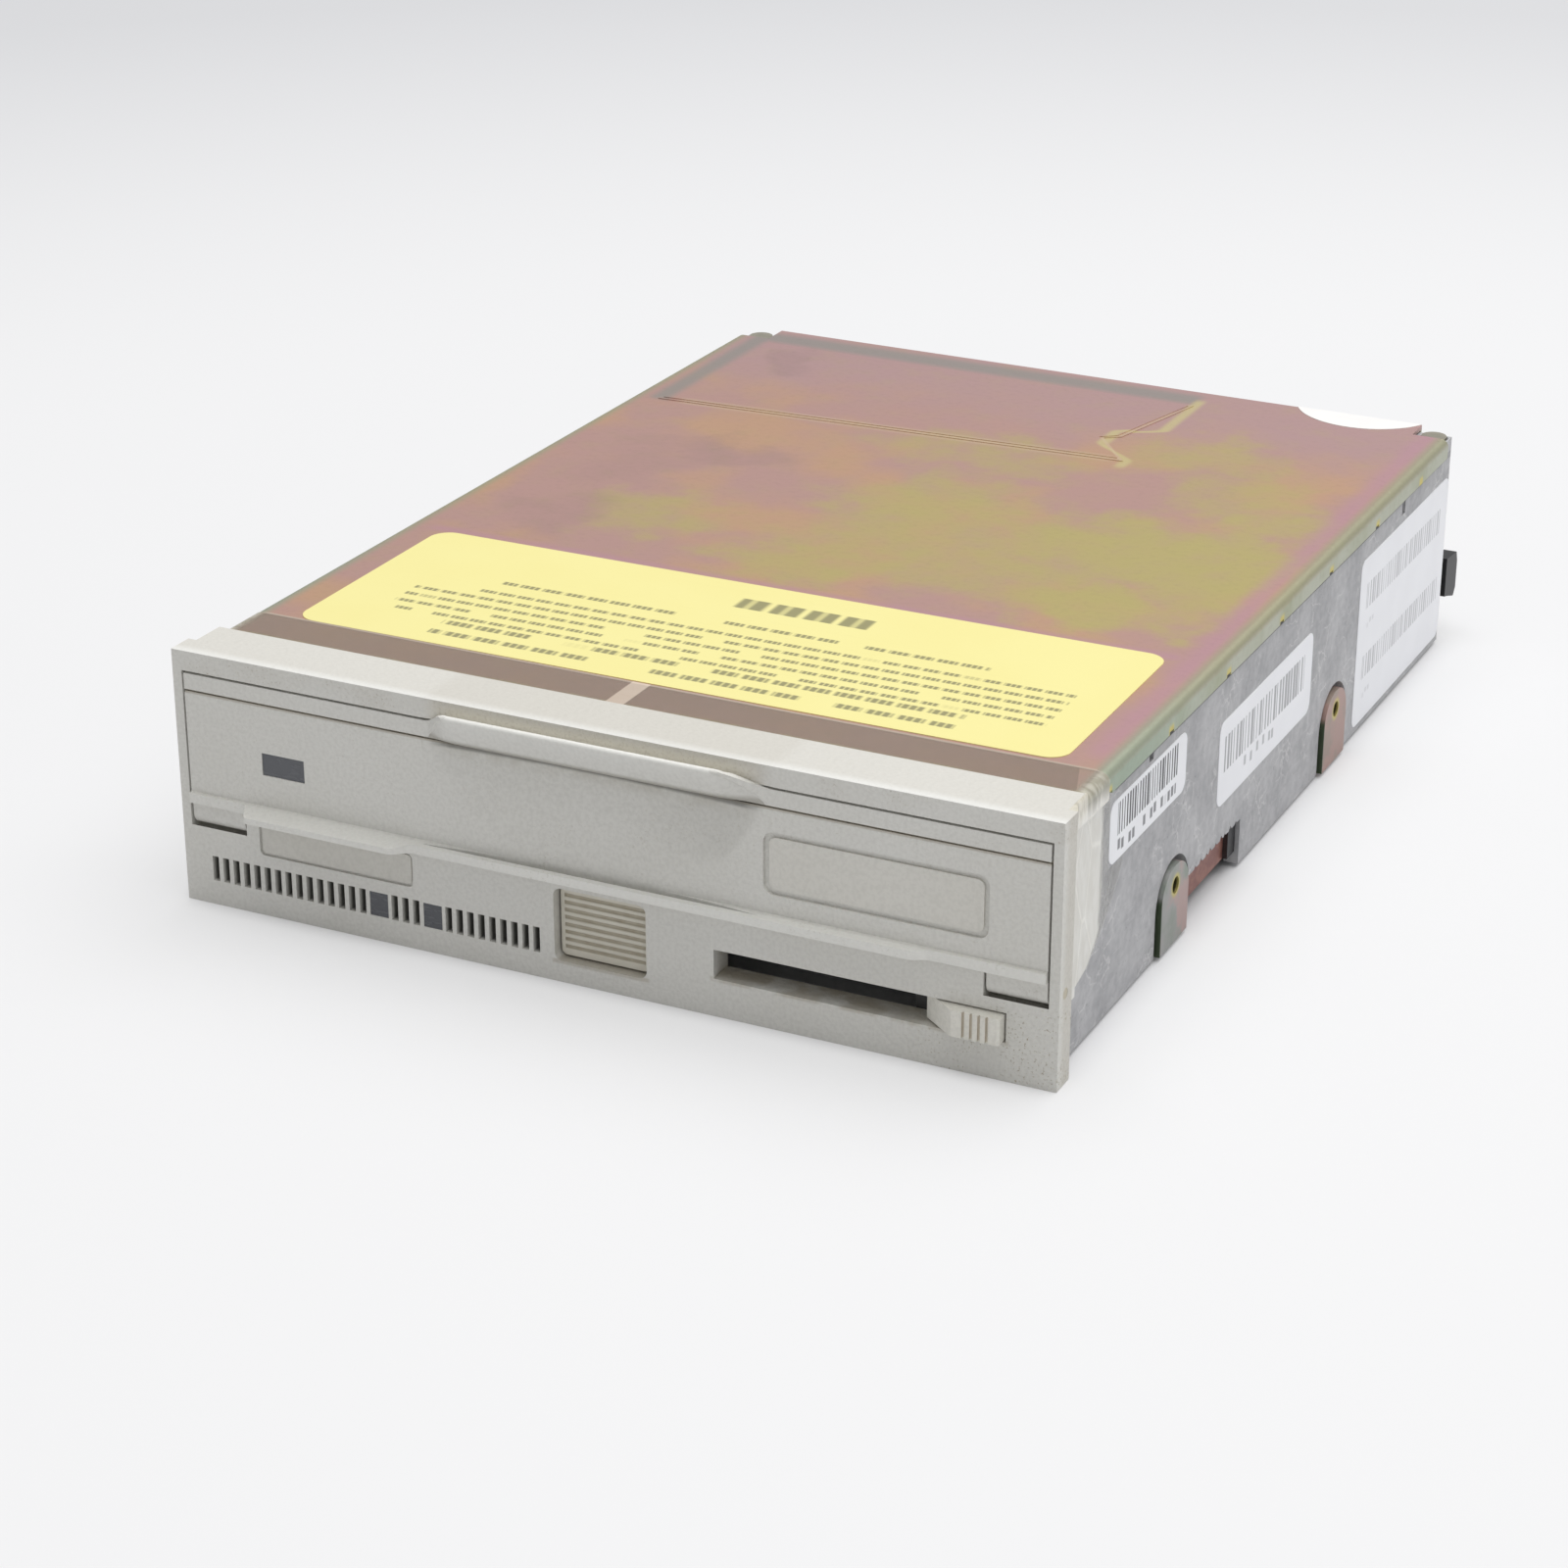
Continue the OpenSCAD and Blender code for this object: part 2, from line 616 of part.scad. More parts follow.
module main_board() {
    color([0.10, 0.30, 0.16]) from_face() difference() {
        box([-board_x, board_y[0], board_z], [board_x, board_y[1], board_z + board_t]);
        translate([0, spindle_y, 0]) cylinder(r = motor_r + 2, h = 10, $fn = 96);
        both_sides() for (y = [hole_y1, hole_y2]) box([55.5, y - 8, 0], [70, y + 8, 10]);
        for (p = board_posts()) translate([p[0], p[1], 0]) cylinder(r = 1.3, h = 10);
    }
}

// Packages on the underside of the board: middle, then size.
function chip_list() = [
    [-36, 122, 24, 24, 2.4], [-4, 146, 18, 18, 2.2], [30, 128, 20, 14, 2.2], [36, 156, 16, 16, 2.2],
    [-38, 160, 18, 12, 2], [-44, 60, 14, 9, 1.8], [42, 66, 12, 8, 1.8], [-46, 86, 10, 6, 1.6],
    [44, 92, 10, 6, 1.6], [-20, 34, 16, 8, 1.8], [14, 34, 10, 6, 1.6], [6, 170, 12, 8, 1.8]
];

module board_chips() {
    color([0.08, 0.08, 0.09]) from_face() for (c = chip_list())
        box([c[0] - c[2] / 2, c[1] - c[3] / 2, board_z - c[4]], [c[0] + c[2] / 2, c[1] + c[3] / 2, board_z]);
}

module board_capacitors() {
    color([0.55, 0.45, 0.15]) from_face() {
        for (p = [[-56, 110], [-56, 116], [54, 110], [54, 116], [22, 176], [20, 184], [-52, 36], [52, 40]])
            box([p[0] - 3, p[1] - 1.6, board_z - 1.9], [p[0] + 3, p[1] + 1.6, board_z]);
        for (x = [-24, 8]) translate([x, 186, board_z - 1.9]) cylinder(r = 2.4, h = 1.9);
    }
}

module board_screws() {
    color([0.72, 0.72, 0.70]) from_face() for (p = board_posts()) {
        translate([p[0], p[1], board_z - 1.2]) cylinder(r = 2.6, h = 1.2);
        translate([p[0], p[1], board_z - 0.1]) cylinder(r = 1.1, h = 6);
    }
}

// Shrouded header for the flat data cable, open to the rear.
module data_connector() {
    color([0.07, 0.07, 0.08]) from_face() difference() {
        box([-66, 186, board_z + board_t], [4, casting_rear + 0.3, board_z + board_t + 8.8]);
        box([-64.5, 188.5, board_z + board_t + 1.2], [2.5, chassis_d + 1, board_z + board_t + 7.6]);
        box([-33.2, 188.5, board_z + board_t + 7], [-28.8, chassis_d + 1, board_z + board_t + 10]);
    }
}

module data_pins() {
    color([0.80, 0.68, 0.35]) from_face() for (i = [0:24], z = [3.1, 5.65])
        translate([-61.48 + i * 2.54 - 0.32, 188.5, board_z + board_t + z - 0.32]) cube([0.64, 6.7, 0.64]);
}

module power_connector() {
    low = board_z + board_t;
    color([0.85, 0.84, 0.78]) from_face() difference() {
        along_y(184.5, casting_rear + 0.3) polygon([[40, low], [62, low], [62, low + 7], [60, low + 9],
            [42, low + 9], [40, low + 7]]);
        along_y(187.5, chassis_d + 1) polygon([[41.2, low + 1.2], [60.8, low + 1.2], [60.8, low + 6.5],
            [59.4, low + 7.9], [42.6, low + 7.9], [41.2, low + 6.5]]);
    }
}

module power_pins() {
    color([0.75, 0.72, 0.60]) from_face() for (i = [0:3])
        translate([43.38 + i * 5.08, 0, board_z + board_t + 4.6]) bar_y(1.05, 187.5, 194.5);
}

module jumper_block() {
    low = board_z + board_t;
    color([0.07, 0.07, 0.08]) from_face() {
        box([12, 190, low], [34, 192.5, low + 5]);
        for (i = [0:7]) box([13.1 + i * 2.54, 192.4, low + 1.2], [13.74 + i * 2.54, 196.5, low + 1.84]);
        for (i = [0:7]) box([13.1 + i * 2.54, 192.4, low + 3.6], [13.74 + i * 2.54, 196.5, low + 4.24]);
    }
}

module terminator_packs() {
    color([0.10, 0.10, 0.25]) from_face() for (i = [0:2])
        box([-58 + i * 22, 178.5, board_z - 2.6], [-38 + i * 22, 181, board_z]);
}

// Black corner guard beside the connectors.
module rear_guard() {
    color([0.06, 0.06, 0.06]) from_face() {
        box([66.8, casting_rear, 6.4], [70, 201, 14.4]);
        along_x(69, casting_x) polygon([[199.6, 15], [206, 14.4], [206.8, 12.4], [206.8, 7], [205.6, 5.6],
            [201.2, 7], [199.6, 7.4]]);
    }
}

// Motor housing, its flange and the lug of the lift pin.
module spindle_motor() {
    color([0.55, 0.55, 0.56]) from_face() difference() {
        union() {
            translate([0, spindle_y, 0.8]) cylinder(r = 15, h = 2, $fn = 96);
            translate([0, spindle_y, 2.4]) cylinder(r = motor_r - 0.5, h = 9.6, $fn = 96);
            box([-3, spindle_y - motor_r - 2, 5.6], [3, spindle_y - motor_r + 3, 8.6]);
        }
        translate([0, spindle_y, 8]) cylinder(r = 4.05, h = 10);
        translate([0, spindle_y, 10.4]) difference() {
            cylinder(r = motor_r - 2, h = 4, $fn = 96);
            cylinder(r = 15.5, h = 4, $fn = 96);
        }
    }
}

module lift_pin() {
    color([0.75, 0.75, 0.75]) from_face()
        translate([0, 0, pin_z]) bar_y(lift_pin_r, cam_y - 0.6, spindle_y - motor_r - 2);
}

// Turning hub with the magnetic chuck that holds the disk.
module spindle_hub() {
    color([0.78, 0.78, 0.80]) from_face() translate([0, spindle_y, 0]) difference() {
        union() {
            translate([0, 0, 8.5]) cylinder(r = 4, h = 5);
            translate([0, 0, 12.4]) cylinder(r = 15.5, h = 2.4, $fn = 96);
            translate([0, 0, 14.7]) cylinder(r = 13, h = 2.4, $fn = 96);
            translate([0, 0, 17]) cylinder(r = 3.2, h = 0.8);
            translate([0, 0, 17.8]) cylinder(r1 = 3.2, r2 = 2, h = 0.8);
        }
        for (a = [0:60:300]) rotate([0, 0, a]) translate([9, 0, 16]) cylinder(r = 2, h = 3);
    }
}

// Sheet-metal guide for one edge of the cartridge, on the right.
module guide_rail() {
    along_y(9, 150) polygon([[69.5, 17], [69.5, 34.2], [66.2, 34.2], [66.2, 33.4], [68.7, 33.4],
        [68.7, 19], [65.5, 19], [65.5, 18.2], [68.7, 18.2], [68.7, 17]]);
    box([60, 20, deck_top], [69.5, 30, deck_top + 0.8]);
    box([60, 126, deck_top], [69.5, 136, deck_top + 0.8]);
    box([68.7, 20, deck_top], [69.5, 30, 18]);
    box([68.7, 126, deck_top], [69.5, 136, 18]);
}

module rail_right() { color([0.74, 0.74, 0.72]) from_face() guide_rail(); }

module rail_left() { color([0.74, 0.74, 0.72]) from_face() mirror([1, 0, 0]) guide_rail(); }

// A ring sector about the origin, between two radii and two angles.
module sector(r0, r1, a0, a1, n = 12) {
    polygon(concat(
        [for (i = [0:n]) let (a = a0 + (a1 - a0) * i / n) r1 * [cos(a), sin(a)]],
        [for (i = [n:-1:0]) let (a = a0 + (a1 - a0) * i / n) r0 * [cos(a), sin(a)]]
    ));
}

// The two magnet plates that the coil swings between, and their posts.
module actuator_base() {
    color([0.50, 0.50, 0.52]) from_face() translate([pivot[0], pivot[1], 0]) {
        along_z(17, 21.5) sector(12, 25.5, coil_turn - 12, 64);
        along_z(27.5, 32) sector(12, 25.5, coil_turn - 12, 64);
        along_z(deck_top, 32) sector(23.4, 25.5, coil_turn - 12, coil_turn - 3, 3);
        along_z(17, 32) sector(23.4, 25.5, 58, 64, 3);
        translate([19, 2, deck_top]) cylinder(r = 3, h = 4);
    }
}

module actuator_shaft() {
    color([0.75, 0.75, 0.76]) from_face() translate([pivot[0], pivot[1], 8]) {
        cylinder(r = pivot_r, h = 27);
        cylinder(r = pivot_r + 2, h = 1.5);
    }
}

// Swinging block with two head arms.
module actuator_arm() {
    color([0.72, 0.72, 0.73]) from_face() translate([pivot[0], pivot[1], 0]) difference() {
        union() {
            translate([0, 0, 20]) cylinder(r = 7.5, h = 13);
            for (z = [22, 28.6]) translate([0, 0, z]) rotate(arm_turn) linear_extrude(1.4)
                polygon([[0, 6.5], [arm_l - 4, 1.8], [arm_l - 4, -1.8], [0, -6.5]]);
            rotate(coil_turn + 14) translate([5, -4, 23]) cube([7.4, 8, 3]);
            rotate(coil_turn + 14) translate([5, -1, 23]) cube([8.15, 2, 3]);
        }
        translate([0, 0, 19]) cylinder(r = pivot_r + 0.05, h = 20);
        // Lightening windows in the arms
        for (z = [21, 28]) translate([0, 0, z]) rotate(arm_turn) linear_extrude(3)
            polygon([[13, 3], [44, 1.2], [44, -1.2], [13, -3]]);
    }
}

module voice_coil() {
    color([0.65, 0.35, 0.15]) from_face() translate([pivot[0], pivot[1], 23]) linear_extrude(3) difference() {
        sector(13.2, 22.8, coil_turn, coil_turn + 28);
        sector(16, 20.2, coil_turn + 6, coil_turn + 22);
    }
}

module read_heads() {
    color([0.80, 0.80, 0.82]) from_face() translate([pivot[0], pivot[1], 0])
        for (z = [23.4, 27.4]) translate([0, 0, z]) rotate(arm_turn) linear_extrude(1.2)
            polygon([[arm_l - 8, 1.3], [arm_l, 1.8], [arm_l, -1.8], [arm_l - 8, -1.3]]);
}

// Plastic ramp between the arms, where the heads rest.
module head_ramp() {
    color([0.88, 0.87, 0.82]) from_face() {
        box([-37, 141, 25], [-22, 148, 27]);
        box([-48, 140.5, deck_top], [-36, 156, 27]);
    }
}

module air_filter() {
    color([0.90, 0.90, 0.88]) from_face() box([-62, 160, deck_top], [-34, 181.2, 34]);
}

// Flexible strip from the arm down through the deck.
module flex_strip() {
    color([0.80, 0.50, 0.15]) from_face() {
        box([-10, 171.2, board_z + board_t], [2, 171.5, 21]);
        box([-10, 171.2, 20.8], [16, 171.5, 26]);
    }
}

module bezel_screws() {
    color([0.72, 0.70, 0.62]) from_face() both_sides() translate([bezel_screw[0], 0, bezel_screw[1]]) {
        bar_y(1.1, 1.8, casting_y + 3.5);
        bar_y(2.1, casting_y + 3.5, casting_y + 5);
    }
}

module top_label() {
    color([0.99, 0.95, 0.62]) from_face() translate([-0.4, 44, chassis_h])
        rotate([0, 0, 0.4]) linear_extrude(0.12) rounded([-65.6, -22.6], [65.6, 22.6], 3.5);
}

// A sticker on the right side of the casting, in Y and Z.
module side_sticker(low, high) {
    color([0.93, 0.93, 0.94]) from_face() along_x(casting_x, casting_x + 0.12) rounded(low, high, 2);
}

module side_label_front() { side_sticker([23.6, 24.7], [55.9, 34.8]); }

module side_label_middle() { side_sticker([71.6, 14.7], [117.7, 29.4]); }

module side_label_rear() { side_sticker([143.6, 1.2], [casting_rear - 0.2, 32.7]); }

module rear_seal() {
    color([0.96, 0.96, 0.96]) from_face() intersection() {
        translate([54, 203, chassis_h]) cylinder(r = 13.5, h = 0.12, $fn = 64);
        box([-80, 150, 0], [80, chassis_d, 60]);
    }
}

// Clear tape over the front edge of the cover and down both sides of the casting.
module dust_tape() {
    side_low = casting_top - 3.1;
    color([0.85, 0.80, 0.70, 0.5]) from_face() {
        box([-casting_x + 1.2, skirt_d + 0.2, chassis_h], [casting_x - 1.2, 21, chassis_h + 0.1]);
        both_sides() {
            along_x(casting_x, casting_x + 0.1) polygon([[casting_y, casting_top - 3],
                [23.5, casting_top - 3], [23.5, 24.4], [29.6, 24.2], [28.6, 22], [25.2, 18.4], [21.2, 15.2],
                [16.6, 12], [casting_y, 8.6]]);
            // Over the fold of the cover and beside the end of the panel's top band
            box([casting_x, casting_y, side_low], [shelf_half + 0.1, 20.6, chassis_h - 3.6]);
            box([shelf_half, casting_y, side_low], [shelf_half + 0.1, 20.6, chassis_h - 1.5]);
        }
        along_y(skirt_d + 0.2, 20.6) difference() {
            rounded([-shelf_half - 0.1, chassis_h - 6], [shelf_half + 0.1, chassis_h + 0.1], 1.6);
            rounded([-shelf_half, chassis_h - 7], [shelf_half, chassis_h], 1.5);
            translate([-80, chassis_h - 8]) square([160, 6.5]);
            translate([-70, chassis_h - 2]) square([140, 4]);
        }
    }
}

front_bezel();
front_door();
door_window();
door_plaque();
bezel_plate();
hinge_pins();
lens_activity();
lens_ready();
led_board();
indicator_leds();
stop_switch();
stop_button();
load_lever();
cam_plate();
base_casting();
top_cover();
cover_screws();
bracket_right();
bracket_left();
shock_grommets();
bracket_screws();
main_board();
board_chips();
board_capacitors();
board_screws();
data_connector();
data_pins();
power_connector();
power_pins();
jumper_block();
terminator_packs();
rear_guard();
spindle_motor();
lift_pin();
spindle_hub();
rail_right();
rail_left();
actuator_base();
actuator_shaft();
actuator_arm();
voice_coil();
read_heads();
head_ramp();
air_filter();
flex_strip();
bezel_screws();
top_label();
side_label_front();
side_label_middle();
side_label_rear();
rear_seal();
dust_tape();
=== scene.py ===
# A half-height removable disk drive on a pale floor, lit softly from above.
import math
import bpy
import numpy as np
from mathutils import Matrix, Vector


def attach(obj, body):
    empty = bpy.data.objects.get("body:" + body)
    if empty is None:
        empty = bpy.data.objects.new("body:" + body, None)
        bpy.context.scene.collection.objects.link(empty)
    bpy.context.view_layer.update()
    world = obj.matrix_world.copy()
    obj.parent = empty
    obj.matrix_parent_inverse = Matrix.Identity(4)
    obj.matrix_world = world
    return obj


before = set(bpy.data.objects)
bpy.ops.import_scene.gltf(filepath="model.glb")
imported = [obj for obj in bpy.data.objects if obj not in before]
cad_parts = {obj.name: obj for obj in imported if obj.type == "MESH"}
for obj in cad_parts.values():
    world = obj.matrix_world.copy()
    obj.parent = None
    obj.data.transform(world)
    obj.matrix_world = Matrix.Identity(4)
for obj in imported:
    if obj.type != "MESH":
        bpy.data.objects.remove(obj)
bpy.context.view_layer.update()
print("frame loaded")

# Millimetres from the front face to the frame's origin.
faceShift = 91.725


# A colour from 0-255 values: each channel is brought from display to linear light.
def paint(red, green, blue):
    def channel(v):
        v /= 255
        return v / 12.92 if v <= 0.04045 else ((v + 0.055) / 1.055) ** 2.4
    return (channel(red), channel(green), channel(blue), 1.0)


# One shader value. Arithmetic on it adds Math nodes to its material.
class Wire:
    def __init__(self, graph, socket):
        self.graph = graph
        self.socket = socket

    # The colour that the same node gives.
    def color(self):
        return Wire(self.graph, self.socket.node.outputs["Color"])

    # A Math node on this value and others.
    def math(self, operation, *others):
        return self.graph.node("ShaderNodeMath", {"operation": operation}, self, *others)

    def __abs__(self):
        return self.math("ABSOLUTE")

    def __add__(self, other):
        return self.math("ADD", other)

    def __sub__(self, other):
        return self.math("SUBTRACT", other)

    def __rsub__(self, other):
        return self.graph.node("ShaderNodeMath", {"operation": "SUBTRACT"}, other, self)

    def __mul__(self, other):
        return self.math("MULTIPLY", other)

    def __truediv__(self, other):
        return self.math("DIVIDE", other)

    def __pow__(self, other):
        return self.math("POWER", other)

    __radd__ = __add__
    __rmul__ = __mul__

    # The whole number below.
    def floor(self):
        return self.math("FLOOR")

    # What is left above the whole number below.
    def fract(self):
        return self.math("FRACT")

    # The smaller of this and another value.
    def least(self, other):
        return self.math("MINIMUM", other)

    # The larger of this and another value.
    def most(self, other):
        return self.math("MAXIMUM", other)

    # 0 below low, 1 above high and a smooth step between.
    def rise(self, low, high):
        return self.graph.node("ShaderNodeMapRange", {"interpolation_type": "SMOOTHSTEP"}, self, low, high)

    # 1 below low, 0 above high and a smooth step between.
    def fall(self, low, high):
        return 1 - self.rise(low, high)

    # 1 between low and high, with edges as soft as given.
    def inside(self, low, high, soft=0.1):
        return self.rise(low - soft, low + soft) * self.fall(high - soft, high + soft)


# One material and its node tree. Places are in millimetres: x across, y from the front face, z from the base.
class Graph:
    def __init__(self, name):
        self.material = bpy.data.materials.new(name)
        self.material.use_nodes = True
        self.tree = self.material.node_tree
        self.tree.nodes.clear()
        metres = self.node("ShaderNodeTexCoord", {}, out="Object")
        self.place = self.node("ShaderNodeVectorMath", {"operation": "MULTIPLY_ADD"}, metres,
                               (1000, 1000, 1000), (0, faceShift, 0))
        split = self.node("ShaderNodeSeparateXYZ", {}, self.place)
        self.x, self.y, self.z = (Wire(self, s) for s in split.socket.node.outputs)

    # Adds a node of that kind: its settings first, then its inputs in order or by name. None leaves an input alone.
    def node(self, kind, settings, *values, out=0, **named):
        made = self.tree.nodes.new(kind)
        for key, value in settings.items():
            setattr(made, key, value)
        for key, value in list(enumerate(values)) + [(k.replace("_", " "), v) for k, v in named.items()]:
            if isinstance(value, Wire):
                self.tree.links.new(value.socket, made.inputs[key])
            elif value is not None:
                made.inputs[key].default_value = value
        return Wire(self, made.outputs[out]) if made.outputs else None

    # The place stretched by a factor along each axis.
    def scaled(self, x, y, z):
        return self.node("ShaderNodeVectorMath", {"operation": "MULTIPLY"}, self.place, (x, y, z))

    # Smooth noise from 0 to 1, with features about as large as size, in millimetres.
    def noise(self, size, detail=2.0, place=None):
        return self.node("ShaderNodeTexNoise", {}, Vector=place or self.place, Scale=1 / size, Detail=detail)

    # Thin lines between cells about as large as size: 1 on a line, 0 from the given share of a cell on.
    def cracks(self, size, place, share=0.05):
        away = self.node("ShaderNodeTexVoronoi", {"feature": "DISTANCE_TO_EDGE"}, Vector=place, Scale=1 / size)
        return away.fall(0.0, share)

    # A random value for each whole number.
    def chance(self, value):
        return self.node("ShaderNodeTexWhiteNoise", {"noise_dimensions": "1D"}, W=value)

    # 1 in a rectangle seen from the front: its spans in x and z, and how soft its edges are along each.
    def facing(self, spans, softX, softZ):
        return self.x.inside(*spans[0], softX) * self.z.inside(*spans[1], softZ)

    # 1 in a rectangle seen from above: its spans in x and y, and how soft its edges are along each.
    def lying(self, spans, softX, softY):
        return self.x.inside(*spans[0], softX) * self.y.inside(*spans[1], softY)

    # Colour a where factor is 0 and b where it is 1. The node's colours are its inputs 6 and 7.
    def mix(self, factor, a, b, how="MIX"):
        return self.node("ShaderNodeMix", {"data_type": "RGBA", "blend_type": how}, factor, *[None] * 5, a, b, out=2)

    # A Principled shader; height is in millimetres.
    def surface(self, color, rough, metal=0.0, height=None, coat=0.0):
        bump = height and self.node("ShaderNodeBump", {}, Strength=1.0, Distance=0.001, Height=height)
        return self.node("ShaderNodeBsdfPrincipled", {}, Base_Color=color, Roughness=rough, Metallic=metal,
                         Coat_Weight=coat, Coat_Roughness=0.1, Normal=bump)

    # Ends the material with that shader and returns it.
    def done(self, shader):
        self.node("ShaderNodeOutputMaterial", {}, shader)
        return self.material


# Gives a CAD node its material.
def dress(name, material):
    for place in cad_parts[name].material_slots:
        place.material = material


# Moulded plastic. Sizes in millimetres of its slow tone changes, its grain and the dimples on it.
moulded = {
    "tone": paint(214, 213, 207),
    "plaque": paint(213, 211, 203),
    "plate": paint(206, 204, 196),
    "pins": paint(190, 182, 162),
    "warm": paint(214, 210, 196), "warmth": 0.12, "driftSize": 38.0,
    "speck": paint(140, 137, 128), "speckShare": 0.12, "grainSize": 0.6, "dimpleSize": 1.3,
    "grain": 0.085, "fineGrain": 0.004, "rough": 0.48, "smoothRough": 0.42,
}


# The tone with warmer regions and a fine grain, and on it layers, each a mask and its colour. The surface's height is
# the grain and larger dimples, times grain.
def plastic(name, tone, grain=moulded["grain"], rough=moulded["rough"], layers=None):
    g = Graph(name)
    fine = g.noise(moulded["grainSize"], 2.0)
    drift = g.noise(moulded["driftSize"], 2.0).rise(0.3, 0.7)
    tint = g.mix(drift * moulded["warmth"], tone, moulded["warm"], "MULTIPLY")
    tint = g.mix(fine.rise(0.35, 0.7) * moulded["speckShare"], tint, moulded["speck"])
    for mask, color in layers(g) if layers else ():
        tint = g.mix(mask, tint, color)
    height = (fine + g.noise(moulded["dimpleSize"], 1.0) * 1.4) * grain
    return g.done(g.surface(tint, rough, height=height))


# Soil lies on the panel, the door and the bar's face behind the lip; the same tone also paints shade in recesses and
# under the lip.
soilAndShade = {"tone": paint(150, 138, 114), "speckSize": 0.42}

# The panel: soil and shades, each a place and a strength. A place is a span in x and z, or the two values between
# which it comes or goes, in millimetres.
panel = {
    "scoop": ((-29.5, 29.0), (37.5, 41.9)), "scoopSoilAndShade": 0.3,
    "slotLip": ((18.6, 66.9), (5.1, 5.9)), "wellLip": ((-8.4, 8.2), (2.4, 3.1)), "lipSoil": 0.4,
    "barFrom": (38.4, 38.9), "barTo": (41.7, 42.0), "barSoil": 0.08, "barSpecks": 0.6,
    "cornerAcross": (46, 62), "cornerUp": (8, 15), "cornerSpecks": 0.95,
    "behind": (0.3, 2.5), "behindSoilAndShade": 0.25, "mostSoilAndShade": 0.85,
    "slots": ((-69.7, -9.5), (3.2, 7.9)), "slotShadeTone": paint(58, 56, 52), "slotShadeShare": 0.8,
    "top": (41.93, 41.99), "topLightTone": paint(236, 236, 232), "topLightShare": 0.45,
}


# Soil and painted shade in the finger scoop and deeper behind the face; soil at the lever's slot, below the button and
# in specks on the top bar and the lower corner. The insides of the cooling slots are painted dark as shade, and the top
# surface is painted paler as if lit from above.
def panelLayers(g):
    specks = g.noise(soilAndShade["speckSize"], 2.0).rise(0.58, 0.72)
    scoop = g.facing(panel["scoop"], 1.5, 0.3) * g.y.rise(0.02, 0.5)
    bar = g.z.rise(*panel["barFrom"]) * g.z.fall(*panel["barTo"]) * g.noise(9.0, 2.0).rise(0.35, 0.65)
    corner = g.x.rise(*panel["cornerAcross"]) * g.z.fall(*panel["cornerUp"]) * g.noise(6.0, 2.0).rise(0.35, 0.55)
    slotLip = g.facing(panel["slotLip"], 0.3, 0.2) * g.noise(5.0, 2.0).rise(0.35, 0.6)
    wellLip = g.facing(panel["wellLip"], 0.3, 0.2)
    # Soil, with painted shade in the scoop and on surfaces deeper behind the face.
    spread = (scoop * panel["scoopSoilAndShade"] + specks * (bar * panel["barSpecks"] + corner * panel["cornerSpecks"])
              + bar * panel["barSoil"] + slotLip * panel["lipSoil"] + wellLip * panel["lipSoil"]
              + g.y.rise(*panel["behind"]) * panel["behindSoilAndShade"]).least(panel["mostSoilAndShade"])
    # Painted shade: the insides of the cooling slots are darkened.
    slots = g.facing(panel["slots"], 0.1, 0.1) * g.y.rise(0.25, 1.2)
    # Painted light: the top surface is made paler, as if lit from above.
    return [(g.z.rise(*panel["top"]) * panel["topLightShare"], panel["topLightTone"]), (spread, soilAndShade["tone"]),
            (slots * panel["slotShadeShare"], panel["slotShadeTone"])]


door = {
    "ledge": (16.5, 18.7), "ledgeHighlightTone": paint(238, 238, 232), "ledgeHighlightShare": 0.25,
    "hollowMiddle": (-2, 47), "hollowRadius": (30.6, 32.0), "hollowAcross": (2, 24), "hollowUp": (25, 35.5),
    "hollowTone": paint(120, 118, 110), "hollowShare": 0.13,
    "groove": (35.0, 35.7), "grooveSoil": 0.6, "underLip": ((-26, 24), (33.4, 35.5)), "underLipShade": 0.2,
    "specks": 0.2, "mostSoilAndShade": 0.7,
    "band": ((-27.5, 25.5), (34.5, 35.9)), "lipShadowTone": paint(70, 68, 60), "bandShare": 0.68,
}


# The door: a painted highlight on the ledge, a painted shade in the corner of the hollow, by the distance from the
# hollow's middle, soil in the groove and in specks, painted shade under the lip, and a dark band of painted shadow.
def doorLayers(g):
    # Painted highlight along the protruding ledge.
    ledge = g.z.inside(*door["ledge"], 0.2) * g.y.fall(-0.8, -0.3) * (door["ledgeHighlightShare"] + g.x.rise(-40, 0) * 0.2)
    middleX, middleZ = door["hollowMiddle"]
    out = ((g.x - middleX) ** 2 + (g.z - middleZ) ** 2) ** 0.5
    hollow = out.fall(*door["hollowRadius"]) * g.x.rise(*door["hollowAcross"]) * g.z.inside(*door["hollowUp"], 3.0)
    groove = g.z.inside(*door["groove"], 0.1) * g.y.rise(-0.1, 0.25)
    # Painted shade under the lip, in the soil tone.
    under = g.facing(door["underLip"], 4, 1.2) * g.noise(3.0, 2.0).rise(0.3, 0.6)
    specks = g.noise(soilAndShade["speckSize"], 2.0).rise(0.6, 0.7) * g.noise(11.0).rise(0.45, 0.6)
    spread = groove * door["grooveSoil"] + under * door["underLipShade"] + specks * door["specks"]
    # The dark band is a painted shadow right under the lip.
    return [(ledge, door["ledgeHighlightTone"]), (hollow * door["hollowShare"], door["hollowTone"]),
            (spread.least(door["mostSoilAndShade"]), soilAndShade["tone"]),
            (g.facing(door["band"], 2.5, 0.3) * door["bandShare"], door["lipShadowTone"])]


